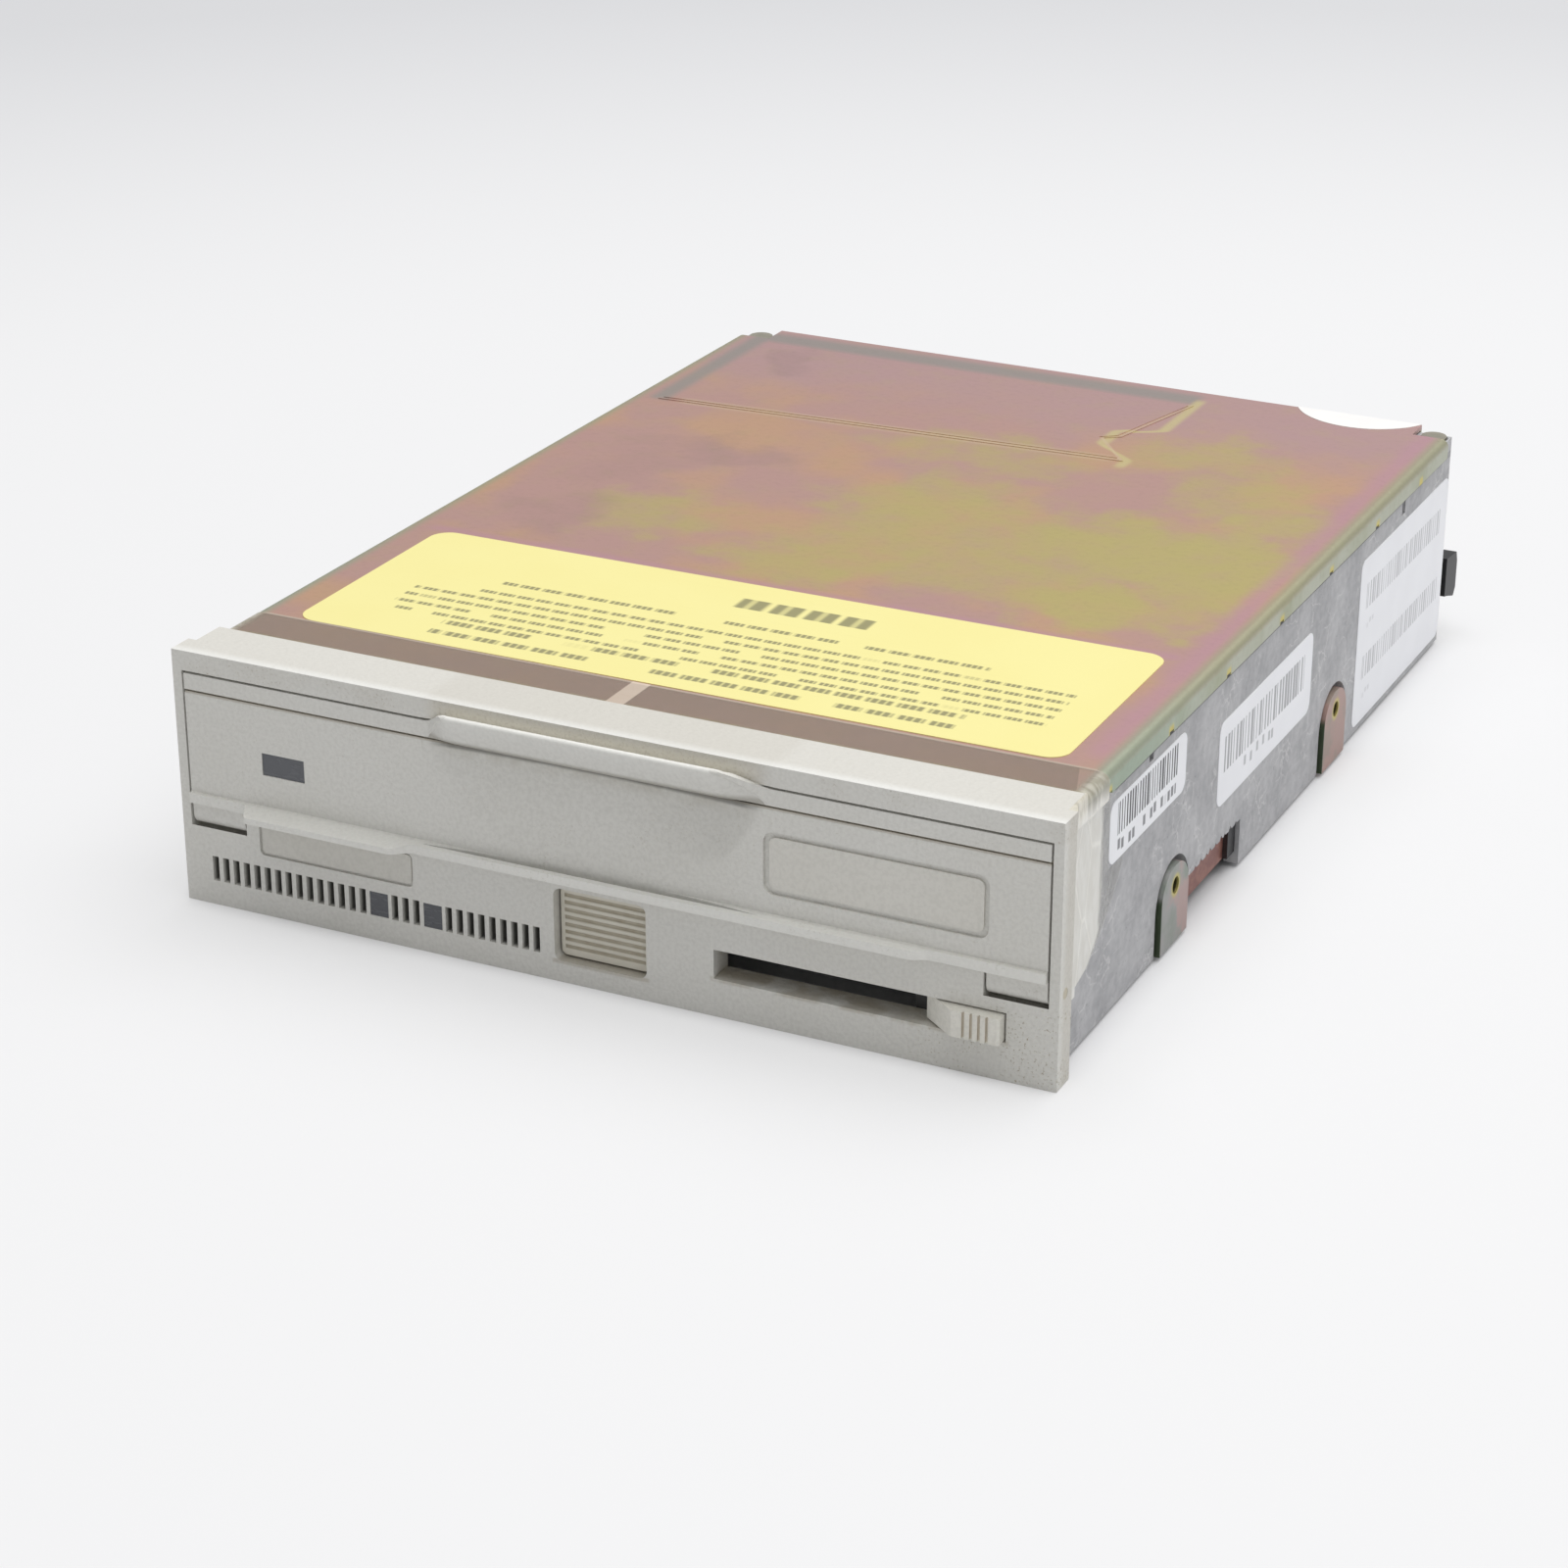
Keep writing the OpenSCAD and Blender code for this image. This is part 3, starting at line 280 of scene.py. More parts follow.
dress("front_bezel", plastic("bezelPlastic", moulded["tone"], layers=panelLayers))
dress("front_door", plastic("doorPlastic", moulded["tone"], layers=doorLayers))
dress("door_plaque", plastic("plaquePlastic", moulded["plaque"], moulded["fineGrain"], moulded["smoothRough"]))
dress("bezel_plate", plastic("platePlastic", moulded["plate"], moulded["fineGrain"], moulded["smoothRough"]))
dress("hinge_pins", plastic("pinPlastic", moulded["pins"], moulded["fineGrain"]))

lever = {
    "tone": paint(228, 226, 217), "grain": 0.012,
    "grooves": ((60.1, 64.6), (6.0, 10.0)), "grooveFloor": (-1.96, -1.5), "grooveTone": paint(168, 148, 116),
    "behind": (4.6, 5.0), "behindShadeTone": paint(40, 40, 42),
}


# The lever: brown at the bottom of its grooves, and painted dark as shade where it lies behind the panel.
def leverLayers(g):
    grooves = g.y.inside(*lever["grooveFloor"], 0.06) * g.facing(lever["grooves"], 0.1, 0.1)
    return [(grooves * 0.45, lever["grooveTone"]), (g.y.rise(*lever["behind"]) * 0.96, lever["behindShadeTone"])]


dress("load_lever", plastic("leverPlastic", lever["tone"], lever["grain"], layers=leverLayers))

button = {"tone": paint(212, 208, 194), "shade": paint(200, 195, 180), "brown": paint(142, 130, 106),
          "groove": (1.72, 1.86), "rough": 0.5}


# The stop button: two cream tones in slow spots, brown in its grooves.
def buttonMaterial():
    g = Graph("buttonPlastic")
    tint = g.mix(g.noise(6.0, 2.0).rise(0.35, 0.65) * 0.5, button["tone"], button["shade"])
    tint = g.mix(g.y.rise(*button["groove"]) * (0.45 + g.noise(1.5, 2.0) * 0.4), tint, button["brown"])
    return g.done(g.surface(tint, button["rough"], height=g.noise(0.5, 2.0) * 0.01))


dress("stop_button", buttonMaterial())

smokeTones = {"lens": paint(84, 86, 90), "window": paint(86, 88, 92), "scratch": paint(130, 130, 132)}


# Smoke-grey plastic of the lenses and the window, with fine scratches: noise stretched along x.
def smoke(name, tone):
    g = Graph(name)
    scratch = g.noise(0.5, 3.0, g.scaled(0.2, 1, 1)).rise(0.55, 0.7)
    return g.done(g.surface(g.mix(scratch * 0.12, tone, smokeTones["scratch"]), scratch * 0.1 + 0.26))


lens = smoke("lensPlastic", smokeTones["lens"])
dress("lens_activity", lens)
dress("lens_ready", lens)
dress("door_window", smoke("windowPlastic", smokeTones["window"]))
print("panel pieces dressed")


# The cover: the tones of its yellow chromate, clouds of them, each a middle and two half widths in millimetres and a
# strength, and its features: the shoulders of its raised panel, the folds and the notches in them.
cover = {
    "tan": paint(194, 156, 128),
    "rose": paint(186, 149, 141),
    "rearRose": paint(183, 150, 149),
    "olive": paint(185, 173, 110),
    "mauve": paint(146, 122, 120),
    "fringe": paint(188, 142, 160),
    "foldTones": (paint(158, 162, 132), paint(178, 181, 164)),
    "foldFront": paint(146, 166, 148),
    "rearEdge": paint(168, 172, 158),
    "worn": paint(206, 190, 92),
    "frontEdge": paint(206, 210, 142),
    "grain": paint(120, 106, 98),
    "oliveClouds": [(44, 108, 30, 24, 1.0), (44, 82, 24, 14, 0.95), (-6, 77, 18, 12, 0.8), (-40, 90, 18, 14, 0.65),
                    (5, 112, 26, 26, 0.75), (18, 92, 46, 22, 0.7), (38, 160, 18, 16, 0.6), (59, 112, 14, 34, 0.95),
                    (0, 145, 30, 13, 0.55), (52, 142, 18, 16, 0.6)],
    "duskClouds": [(-42, 125, 22, 9, 0.45), (-53, 82, 12, 16, 0.4), (-54, 110, 14, 18, 0.35), (-54, 179, 8, 10, 0.5)],
    "leftShoulder": ((-69.4, -65.4), (147, 193)), "rearShoulder": ((-67, 24), (189.4, 194.8)),
    "shoulderShadeTone": paint(146, 146, 140), "shoulderShadeShare": 0.75,
    "frontStart": 151.1, "frontSlope": 0.057, "frontSpan": (-63, 22), "frontHighlightTone": paint(208, 186, 158),
    "stepHeight": (41.33, 41.57), "stepLightTone": paint(210, 188, 158),
    "rightAt": 24.4, "rightBay": 7.4, "bayFrom": (152.5, 160), "bayTo": (166.5, 172.5), "rightSpan": (149, 192),
    "rightHighlightTone": paint(206, 196, 140),
    "byLabel": ((-68, 67), (66, 68.5)),
    "bend": (69.8, 72.4), "foldTop": (39.9, 40.9), "foldFrontTo": (25, 75),
    "rearFrom": 197.2, "frontTo": (12.4, 13.4),
    "firstNotch": 20.8, "notchPitch": 25.6, "notchTop": (38.6, 39.6),
}


# The strongest of the clouds at each place: 1 at a cloud's middle, 0 from its edge on.
def clouds(x, y, shapes):
    most = 0.0
    for cx, cy, rx, ry, strength in shapes:
        one = (((x - cx) / rx) ** 2 + ((y - cy) / ry) ** 2).fall(0.0, 1.1) * strength
        most = one.most(most)
    return most


# Tan and rose in wide regions, then olive and dusky clouds at places pushed about by noise, then lines and bands along
# the raised panel, the folds and the edges. The front line runs a little aslant; the right one steps inward by a bay.
def coverMaterial():
    g = Graph("coverSteel")
    x = g.x + g.noise(15.0, 4.0) * 30 - 15
    y = g.y + g.noise(11.0, 4.0, g.scaled(1, 1, 3)) * 26 - 13
    across = abs(g.x)
    tint = g.mix(g.noise(26.0, 3.0).rise(0.4, 0.62), cover["rose"], cover["tan"])
    tint = g.mix(y.rise(150, 182) * 0.9, tint, cover["rearRose"])
    mottle = g.noise(6.0, 6.0) * 1.9 - 0.95
    olive = (clouds(x, y, cover["oliveClouds"]) + mottle * 0.5).rise(-0.1, 1.15)
    tint = g.mix(olive * 0.95, tint, cover["olive"])
    dusk = (clouds(x, y, cover["duskClouds"]) + mottle * 0.3).rise(0.0, 1.1)
    tint = g.mix(dusk * 0.6, tint, cover["mauve"])
    byFold = g.x.rise(65.5, 69) * across.fall(69.5, 71.5) * g.y.rise(22, 30)
    tint = g.mix((g.lying(cover["byLabel"], 2, 1.2) * 0.5).most(byFold * 0.5), tint, cover["fringe"])
    # The shoulders of the raised panel: painted shade on the left and rear ones, painted highlights along the front and
    # right
    shoulders = g.lying(cover["leftShoulder"], 1.3, 1.5).most(g.lying(cover["rearShoulder"], 1.5, 1.8))
    tint = g.mix(shoulders * cover["shoulderShadeShare"], tint, cover["shoulderShadeTone"])
    # A painted highlight along the front shoulder.
    front = abs(g.y - cover["frontStart"] - g.x * cover["frontSlope"]).fall(0.5, 1.8)
    tint = g.mix(front * g.x.inside(*cover["frontSpan"], 2.0) * 0.55, tint, cover["frontHighlightTone"])
    # A painted highlight along the right shoulder, which steps inward by a bay.
    edge = cover["rightAt"] - g.y.rise(*cover["bayFrom"]) * g.y.fall(*cover["bayTo"]) * cover["rightBay"]
    right = abs(g.x - edge).fall(0.3, 1.7) * g.y.inside(*cover["rightSpan"], 1.5)
    tint = g.mix(right * 0.7, tint, cover["rightHighlightTone"])
    # The folded edges: olive over the bend and paler below it
    below = g.z.fall(*cover["foldTop"])
    foldTint = g.mix(below * g.noise(12.0, 2.0, g.scaled(0, 1, 0)).rise(0.2, 0.6), *cover["foldTones"])
    foldTint = g.mix(g.y.fall(*cover["foldFrontTo"]) * 0.7, foldTint, cover["foldFront"])
    tint = g.mix((across.rise(*cover["bend"]) * 0.85).most(below), tint, foldTint)
    tint = g.mix((g.y - cover["rearFrom"]).rise(0, 1.6) * 0.7, tint, cover["rearEdge"])
    # Worn yellow spots at the notches of the fold
    along = (g.y - cover["firstNotch"]) / cover["notchPitch"]
    nearNotch = abs(along - along.math("ROUND")) * cover["notchPitch"]
    spot = nearNotch.fall(0.5, 1.5) * g.z.fall(*cover["notchTop"]) * across.rise(72.0, 72.4)
    tint = g.mix(spot * 0.85, tint, cover["worn"])
    # Painted light on the step up to the raised panel, and a painted highlight along the front edge
    step = g.z.inside(*cover["stepHeight"], 0.02) * g.x.rise(-62, -40) * g.y.fall(180, 189)
    tint = g.mix(step * 0.5, tint, cover["stepLightTone"])
    paintedLight = g.y.fall(*cover["frontTo"]) * g.noise(9.0, 2.0, g.scaled(1, 0, 0)).rise(0.3, 0.6) * g.z.rise(41.0, 41.2)
    tint = g.mix(paintedLight * 0.8, tint, cover["frontEdge"])
    grain = g.noise(1.1, 4.0, g.scaled(0.8, 1, 1))
    tint = g.mix(grain.rise(0.45, 0.8) * 0.1, tint, cover["grain"])
    return g.done(g.surface(tint, 0.42 + grain * 0.1, metal=0.5, height=grain * 0.01 + g.noise(24.0, 2.0) * 0.2))


dress("top_cover", coverMaterial())

alloy = {
    "dark": paint(158, 158, 160), "light": paint(186, 186, 187), "vein": paint(216, 215, 214),
    "scratch": paint(206, 206, 206), "pit": paint(112, 112, 114), "foldShadow": paint(30, 32, 30),
    "mottleSize": 1.5, "driftSize": 9.0, "veinSize": 4.5, "veinBend": 4.0,
    "scratchTurn": (0.6, 0, 0), "scratchStretch": (1, 0.25, 2.2), "foldShadowHeight": (36.5, 37.8),
}


# Cast alloy: two greys mottled by fine and slow noise, pale veins along the borders of bent cells, pale scratches along
# turned and stretched noise, dark pits, and a painted shadow line below the cover's fold.
def castMaterial():
    g = Graph("castAlloy")
    bend = g.node("ShaderNodeVectorMath", {"operation": "SCALE"}, g.noise(3.0, 3.0).color(), Scale=alloy["veinBend"])
    drift = g.node("ShaderNodeVectorMath", {"operation": "ADD"}, g.place, bend)
    veins = g.cracks(alloy["veinSize"], drift) * g.noise(7.0, 2.0).rise(0.48, 0.62)
    turned = g.node("ShaderNodeMapping", {}, g.place, (0, 0, 0), alloy["scratchTurn"], alloy["scratchStretch"])
    scratch = g.noise(1.2, 3.0, turned)
    mottle = g.noise(alloy["mottleSize"], 5.0)
    slow = g.noise(alloy["driftSize"], 3.0)
    tint = g.mix(mottle.rise(0.3, 0.7) * 0.5 + slow.rise(0.35, 0.65) * 0.5, alloy["dark"], alloy["light"])
    tint = g.mix(veins * 0.5, tint, alloy["vein"])
    tint = g.mix(scratch.rise(0.6, 0.75) * 0.3, tint, alloy["scratch"])
    tint = g.mix(g.noise(0.7, 2.0).rise(0.66, 0.74) * 0.4, tint, alloy["pit"])
    # A painted shadow line below the cover's fold.
    foldShadow = g.z.inside(*alloy["foldShadowHeight"], 0.1) * g.y.rise(25, 26) * (1 - g.y.rise(150, 180) * 0.6)
    tint = g.mix(foldShadow * 0.9, tint, alloy["foldShadow"])
    return g.done(g.surface(tint, 0.5 + mottle * 0.15, metal=0.25, height=mottle * 0.03 + scratch * 0.02))


dress("base_casting", castMaterial())

brackets = {
    "tones": (paint(140, 148, 138), paint(158, 158, 156)), "pink": paint(184, 152, 146), "rear": paint(166, 134, 122),
    "brass": paint(196, 184, 98), "boreShade": paint(44, 46, 36), "frontEdge": paint(70, 82, 62),
    "link": paint(44, 44, 46), "rust": (paint(134, 88, 80), paint(150, 104, 92)),
    "holes": (52.1, 131.35), "holeHeight": 10, "holeRadius": 1.5, "edgeAhead": 7,
    "armSpan": (58.4, 80.4), "endShadeSpan": (80.4, 84.5),
}


# Plated brackets: olive and grey-green drifting over the tab, pink where the drift is strongest, browner at the rear. A
# brass rim and a bore painted dark as shade follow the distance from each hole; ahead of it a dark line stands for the
# tab's front edge and the painted shadow in the gap beside it. The arm between them is rusty red, and its end is
# painted dark as shade.
def bracketMaterial():
    g = Graph("bracketSteel")
    drift = g.noise(5.0, 3.0)
    tint = g.mix(drift.rise(0.3, 0.6), *brackets["tones"])
    tint = g.mix((drift + g.y.rise(46, 60) * 0.25).rise(0.6, 0.75) * 0.7, tint, brackets["pink"])
    tint = g.mix(g.y.rise(100, 120) * 0.6, tint, brackets["rear"])
    for hole in brackets["holes"]:
        out = ((g.y - hole) ** 2 + (g.z - brackets["holeHeight"]) ** 2) ** 0.5
        tint = g.mix(out.fall(brackets["holeRadius"], 2.4) * 0.8, tint, brackets["brass"])
        # The bore, painted dark as shade.
        tint = g.mix(out.fall(1.44, 1.52) * abs(g.x).fall(72.5, 72.8) * 0.85, tint, brackets["boreShade"])
        # A dark line for the tab's front edge and the painted shadow in the gap beside it.
        ahead = g.y - hole + brackets["edgeAhead"]
        tint = g.mix((ahead - 1).fall(0.05, 0.5) * ahead.rise(0, 0.5), tint, brackets["frontEdge"])
    # The arm's end, painted dark as shade.
    tint = g.mix(g.y.inside(*brackets["endShadeSpan"], 0.1), tint, brackets["link"])
    tint = g.mix(g.y.inside(*brackets["armSpan"], 0.15), tint, g.mix(g.noise(2.0).rise(0.4, 0.6), *brackets["rust"]))
    return g.done(g.surface(tint, 0.42, metal=0.55, height=g.noise(1.2, 2.0) * 0.02))


bracket = bracketMaterial()
dress("bracket_right", bracket)
dress("bracket_left", bracket)
print("metal pieces dressed")

# The yellow label: its tilt, and groups of rows of short bars, each the first row's height, the pitch of the rows,
# their number, the bar's height, where the rows start and end, and the length of a step.
yellow = {
    "tones": (paint(236, 227, 152), paint(233, 222, 142)), "ink": paint(92, 90, 66), "inkShare": 0.75,
    "tilt": 0.007, "middle": (-0.4, 44),
    "rows": [(32.0, 3.05, 5, 1.15, -56, 58, 3.4), (25.0, 4.2, 2, 1.7, -44, 46, 5.2),
             (48.6, 4.0, 1, 1.3, -44, 42, 4.1), (56.0, 7.0, 1, 4.2, -18, 18, 6.1)],
}


# Rows of short plain bars. Each row is cut into steps, shifted from row to row; a step is left out by chance, its ends
# are clear, and a finer cut across it makes the bars.
def barRows(g, along, up, first, pitch, rows, height, low, high, length):
    row = (up - first) / pitch
    whole = row.floor()
    step = along / length + whole * 0.37
    drawn = g.chance(step.floor() + whole * 19.3).rise(0.1, 0.14)
    gap = step.fract().rise(0.0, 0.16) * step.fract().fall(0.84, 1.0) * drawn
    fine = 0.45 + 0.55 * (along / (height * 0.75)).fract().inside(0.05, 0.72, 0.12)
    inRow = ((row - whole) * pitch).inside(0, height, 0.12)
    return fine * gap * inRow * along.inside(low, high, 0.2) * up.inside(first, first + pitch * rows, 0.05)


# Two yellows, with the rows of bars in a frame turned by the tilt about the label's middle.
def yellowLabel():
    g = Graph("labelYellow")
    middleX, middleY = yellow["middle"]
    along = g.x + (g.y - middleY) * yellow["tilt"]
    up = g.y - (g.x - middleX) * yellow["tilt"]
    tint = g.mix(g.noise(20.0, 2.0).rise(0.3, 0.7) * 0.35, *yellow["tones"])
    ink = 0.0
    for group in yellow["rows"]:
        ink = barRows(g, along, up, *group) + ink
    tint = g.mix(ink.least(1.0) * yellow["inkShare"], tint, yellow["ink"])
    return g.done(g.surface(tint, 0.42, coat=0.15))


# The white labels: blocks of upright bars, each low, high, start, end, ink and pitch, and rows of small dashes, each
# low, high, start, end and ink.
white = {
    "tones": (paint(236, 237, 240), paint(226, 227, 230)), "bar": paint(56, 56, 60), "dash": paint(80, 80, 84),
    "dashPitch": 1.5, "dashLift": 0.7,
    "labels": {
        "side_label_front": ("labelFront", [(28.7, 34.0, 26.8, 52.4, 1.0, 1.05)], [(25.6, 28.0, 26.8, 51.6, 0.85)]),
        "side_label_middle": ("labelMiddle", [(20.2, 26.4, 73.5, 113.6, 0.6, 1.4)], [(17.2, 19.6, 83.5, 99.0, 0.5)]),
        "side_label_rear": ("labelRear",
                            [(22.8, 27.6, 147.5, 191.6, 0.4, 1.3), (9.4, 13.8, 147.5, 193.6, 0.4, 1.3)],
                            [(18.8, 20.4, 148.0, 153.0, 0.2), (5.4, 7.0, 148.0, 153.0, 0.2)]),
    },
}


# A white label: each cell along y holds a bar of a random width, or a dash lifted by a random height.
def whiteLabel(name, blocks, dashes):
    g = Graph(name)
    tint = g.mix(g.noise(8.0).rise(0.3, 0.7) * 0.3, *white["tones"])
    for low, high, start, end, ink, pitch in blocks:
        cell = (g.y / pitch).floor()
        bar = ((g.y / pitch - cell) - (g.chance(cell) * 0.6 + 0.22)).fall(-0.06, 0.06)
        tint = g.mix(bar * g.z.inside(low, high, 0.12) * g.y.inside(start, end, 0.1) * ink, tint, white["bar"])
    for low, high, start, end, ink in dashes:
        cell = (g.y / white["dashPitch"]).floor()
        dash = (g.y / white["dashPitch"] - cell).inside(0.0, 0.68, 0.08) * g.chance(cell + 40).rise(0.1, 0.2)
        level = (g.z - g.chance(cell + 90) * white["dashLift"]).inside(low, high - white["dashLift"], 0.15)
        tint = g.mix(dash * level * g.y.inside(start, end, 0.1) * ink, tint, white["dash"])
    return g.done(g.surface(tint, 0.45, coat=0.1))


dress("top_label", yellowLabel())
for nodeName, content in white["labels"].items():
    dress(nodeName, whiteLabel(*content))

sealTones = (paint(240, 238, 234), paint(226, 226, 228))


# White seal paper, faintly mottled grey.
def sealMaterial():
    g = Graph("sealPaper")
    return g.done(g.surface(g.mix(g.noise(5.0).rise(0.4, 0.7) * 0.3, *sealTones), 0.4))


dress("rear_seal", sealMaterial())

# The tape: tones, and how opaque it is on the side, on the fold and on the cover.
film = {
    "tones": (paint(222, 220, 211), paint(233, 232, 225)), "aged": (paint(204, 197, 174), paint(218, 213, 197)),
    "overCover": paint(208, 184, 162), "rough": 0.32,
    "sideTop": (37.3, 37.6), "foldFrom": (70.5, 72.5), "agedFrom": (69.0, 72.5), "agedHeight": (37.2, 41.0),
    "edge": 20.4, "edgeTurn": (7.5, 17), "edgeDrop": 8.0,
    "glintAt": (22.9, 14.7), "glintSlope": 0.91, "glintSpan": (13.5, 24.0),
    "onSide": 0.9, "onSideRear": 0.76, "onCover": 0.32, "band": (-5.1, -2.0), "bandShare": 0.5,
    "line": (20.4, 21.0), "lineShare": 0.3, "onFold": 0.45,
}


# Aged tape: wrinkles of stretched noise, creases along cell borders, streaks on the fold. On the side it is opaque up
# to a nearly upright line that turns forward near the lower edge; past it only a painted slanting glint and faint
# creases show.
def tapeMaterial():
    g = Graph("tapeFilm")
    wrinkle = g.noise(3.2, 3.0, g.scaled(1, 1.6, 0.7))
    crease = g.cracks(7.0, g.scaled(1, 1.4, 0.5))
    streak = g.noise(1.2, 3.0, g.scaled(0.5, 1, 0.25))
    across = abs(g.x)
    onSide = g.z.fall(*film["sideTop"])
    offSide = 1 - onSide
    onFold = across.rise(*film["foldFrom"]) * offSide
    onCover = offSide * (1 - onFold)
    aged = across.rise(*film["agedFrom"]) * g.z.rise(*film["agedHeight"])
    tint = g.mix(wrinkle.rise(0.35, 0.7), *film["tones"])
    tint = g.mix(aged * 0.85, tint, g.mix(streak.rise(0.3, 0.7), *film["aged"]))
    tint = g.mix(onCover * 0.8, tint, film["overCover"])
    height = wrinkle * 0.06 + crease * 0.015 + aged * streak * 0.08
    shown = g.surface(tint, film["rough"], height=height, coat=0.3)
    # How much of it shows
    limit = film["edge"] - g.z.fall(*film["edgeTurn"]) * film["edgeDrop"]
    glintY, glintZ = film["glintAt"]
    # A painted glint along a slanting line, with the faint creases.
    slant = abs(g.y - glintY - (g.z - glintZ) * film["glintSlope"])
    glintAndCreases = slant.fall(0.1, 0.45) * g.z.inside(*film["glintSpan"], 1.0) * 0.5 + crease * 0.1
    past = (g.y + wrinkle * 1.6 - 0.8 - limit).rise(-0.6, 0.9)
    side = onSide * (film["onSide"] - past * film["onSideRear"] + glintAndCreases)
    top = onCover * (film["onCover"] + g.x.inside(*film["band"], 0.15) * film["bandShare"]
                     + g.y.inside(*film["line"], 0.15) * film["lineShare"])
    fold = onFold * (film["onFold"] + streak.rise(0.4, 0.62) * 0.2 + g.y.fall(9, 14) * 0.3
                     + g.z.fall(37.4, 40.4) * 0.4).least(1.0)
    clear = g.node("ShaderNodeBsdfTransparent", {})
    return g.done(g.node("ShaderNodeMixShader", {}, (side + top + fold).least(1.0), clear, shown))


tape = tapeMaterial()
dress("dust_tape", tape)
print("labels and tape dressed")


# A new closed piece through sections with equal numbers of points, in millimetres from the front face. The points form
# a grid, whose cells between one section and the next are the walls; the first and last sections close the ends. Edges
# sharper than the crease stay sharp. It rides on the given body.
def loft(name, sections, material, body, crease=32):
    count, around = sections.shape[:2]
    points = (sections.reshape(-1, 3) - np.array([0, faceShift, 0])) / 1000
    grid = np.arange(count * around).reshape(count, around)
    ahead = np.roll(grid, -1, axis=1)
    walls = np.stack([grid[:-1], ahead[:-1], ahead[1:], grid[1:]], axis=-1).reshape(-1, 4)
    mesh = bpy.data.meshes.new(name)
    mesh.from_pydata(points.tolist(), [], walls.tolist() + [grid[0, ::-1].tolist(), grid[-1].tolist()])
    mesh.polygons.foreach_set("use_smooth", np.ones(len(mesh.polygons), bool))
    mesh.set_sharp_from_angle(angle=math.radians(crease))
    mesh.materials.append(material)
    piece = bpy.data.objects.new(name, mesh)
    bpy.context.scene.collection.objects.link(piece)
    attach(piece, body)


# From 0 to 1 between low and high, for numpy values: three times the square of the way less twice its cube.
def ease(value, low, high):
    t = np.clip((value - low) / (high - low), 0, 1)
    return t * t * (3 - 2 * t)


# The finger lip's full face: the section as y and z, the strip it shrinks into, and where it shrinks at each end.
lip = {
    "section": [(0.66, 35.33), (0.12, 35.33), (-0.8, 35.9), (-1.68, 36.42), (-1.86, 36.56), (-1.98, 36.78),
                (-2.12, 37.3), (-2.34, 38.1), (-2.55, 38.9), (-2.7, 39.5), (-2.79, 39.95), (-2.82, 40.2),
                (-2.79, 40.42), (-2.67, 40.62), (-2.48, 40.75), (-2.25, 40.79), (-1.95, 40.73), (-1.5, 40.5),
                (-0.65, 39.7), (0.15, 38.85), (0.65, 38.3), (1.2, 38.22), (1.2, 35.4)],
    "strip": (35.68, 38.24),
    "left": (-29.5, -24.0), "leftRise": (-29.3, -24.6),
    "right": (19.5, 29.0), "rightFall": (20.1, 28.8),
    "steps": 150, "grain": 0.008,
    "faceLightTone": paint(240, 240, 235), "topLightTone": paint(246, 246, 241), "underShadeTone": paint(160, 157, 147),
}


# Painted light: paler on the face, a painted highlight along the top, and painted shade underneath.
def lipLayers(g):
    return [(g.x.inside(-26, 23, 3) * g.z.rise(36.5, 40.5) * 0.2, lip["faceLightTone"]),
            (g.z.rise(40.2, 40.6) * g.y.fall(-1.9, -1.4) * 0.3, lip["topLightTone"]),
            (g.z.fall(36.2, 37.2) * 0.8, lip["underShadeTone"])]


# Each section is the full one, drawn back into the strip towards both ends: its reach shrinks by the width factor and
# its height above the strip by the height factor.
def makeLip():
    x = np.linspace(lip["left"][0], lip["right"][1], lip["steps"])
    wide = (ease(x, *lip["left"]) * (1 - ease(x, *lip["right"])))[:, None]
    tall = (ease(x, *lip["leftRise"]) * (1 - ease(x, *lip["rightFall"])))[:, None]
    y, z = np.array(lip["section"]).T
    low, high = lip["strip"]
    depth = np.where(y < 0.5, y * wide + 0.08 * (1 - wide), y)
    depth = np.where((y > 0) & (y < 0.2), 0.12 + (1 - wide) * 0.5, depth)
    level = np.where(z > high, high + (z - high) * tall, np.where(z < 37, low + (z - low) * wide, z))
    sections = np.stack([np.broadcast_to(x[:, None], depth.shape), depth, level], axis=-1)
    loft("lipFace", sections, plastic("lipPlastic", moulded["tone"], lip["grain"], layers=lipLayers), "door")


# The top bar's face behind the lip: level with the bar at its upper edge and a little hollow below it.
scoop = {"ends": (-30.4, 30.0), "edges": (-26.0, 22.0), "steps": (80, 12), "front": 0.02, "depth": 0.12, "back": 2.3,
         "low": 38.72, "high": 41.96, "slope": (38.9, 41.9), "paintedLight": paint(255, 252, 240), "soilAndShade": paint(160, 148, 124)}


# Painted light, strongest low down by the lip and fading upwards, where the lip would shade the face; a soil tone with
# specks that also stands for some shade.
def scoopLayers(g):
    specks = g.noise(soilAndShade["speckSize"], 2.0).rise(0.5, 0.7)
    return [(g.x.inside(-27, 25, 3.0) * g.z.fall(40.2, 41.9) * 0.9, scoop["paintedLight"]),
            (g.x.inside(-28.5, 27.5, 2.0) * (0.3 + specks * 0.15), scoop["soilAndShade"])]


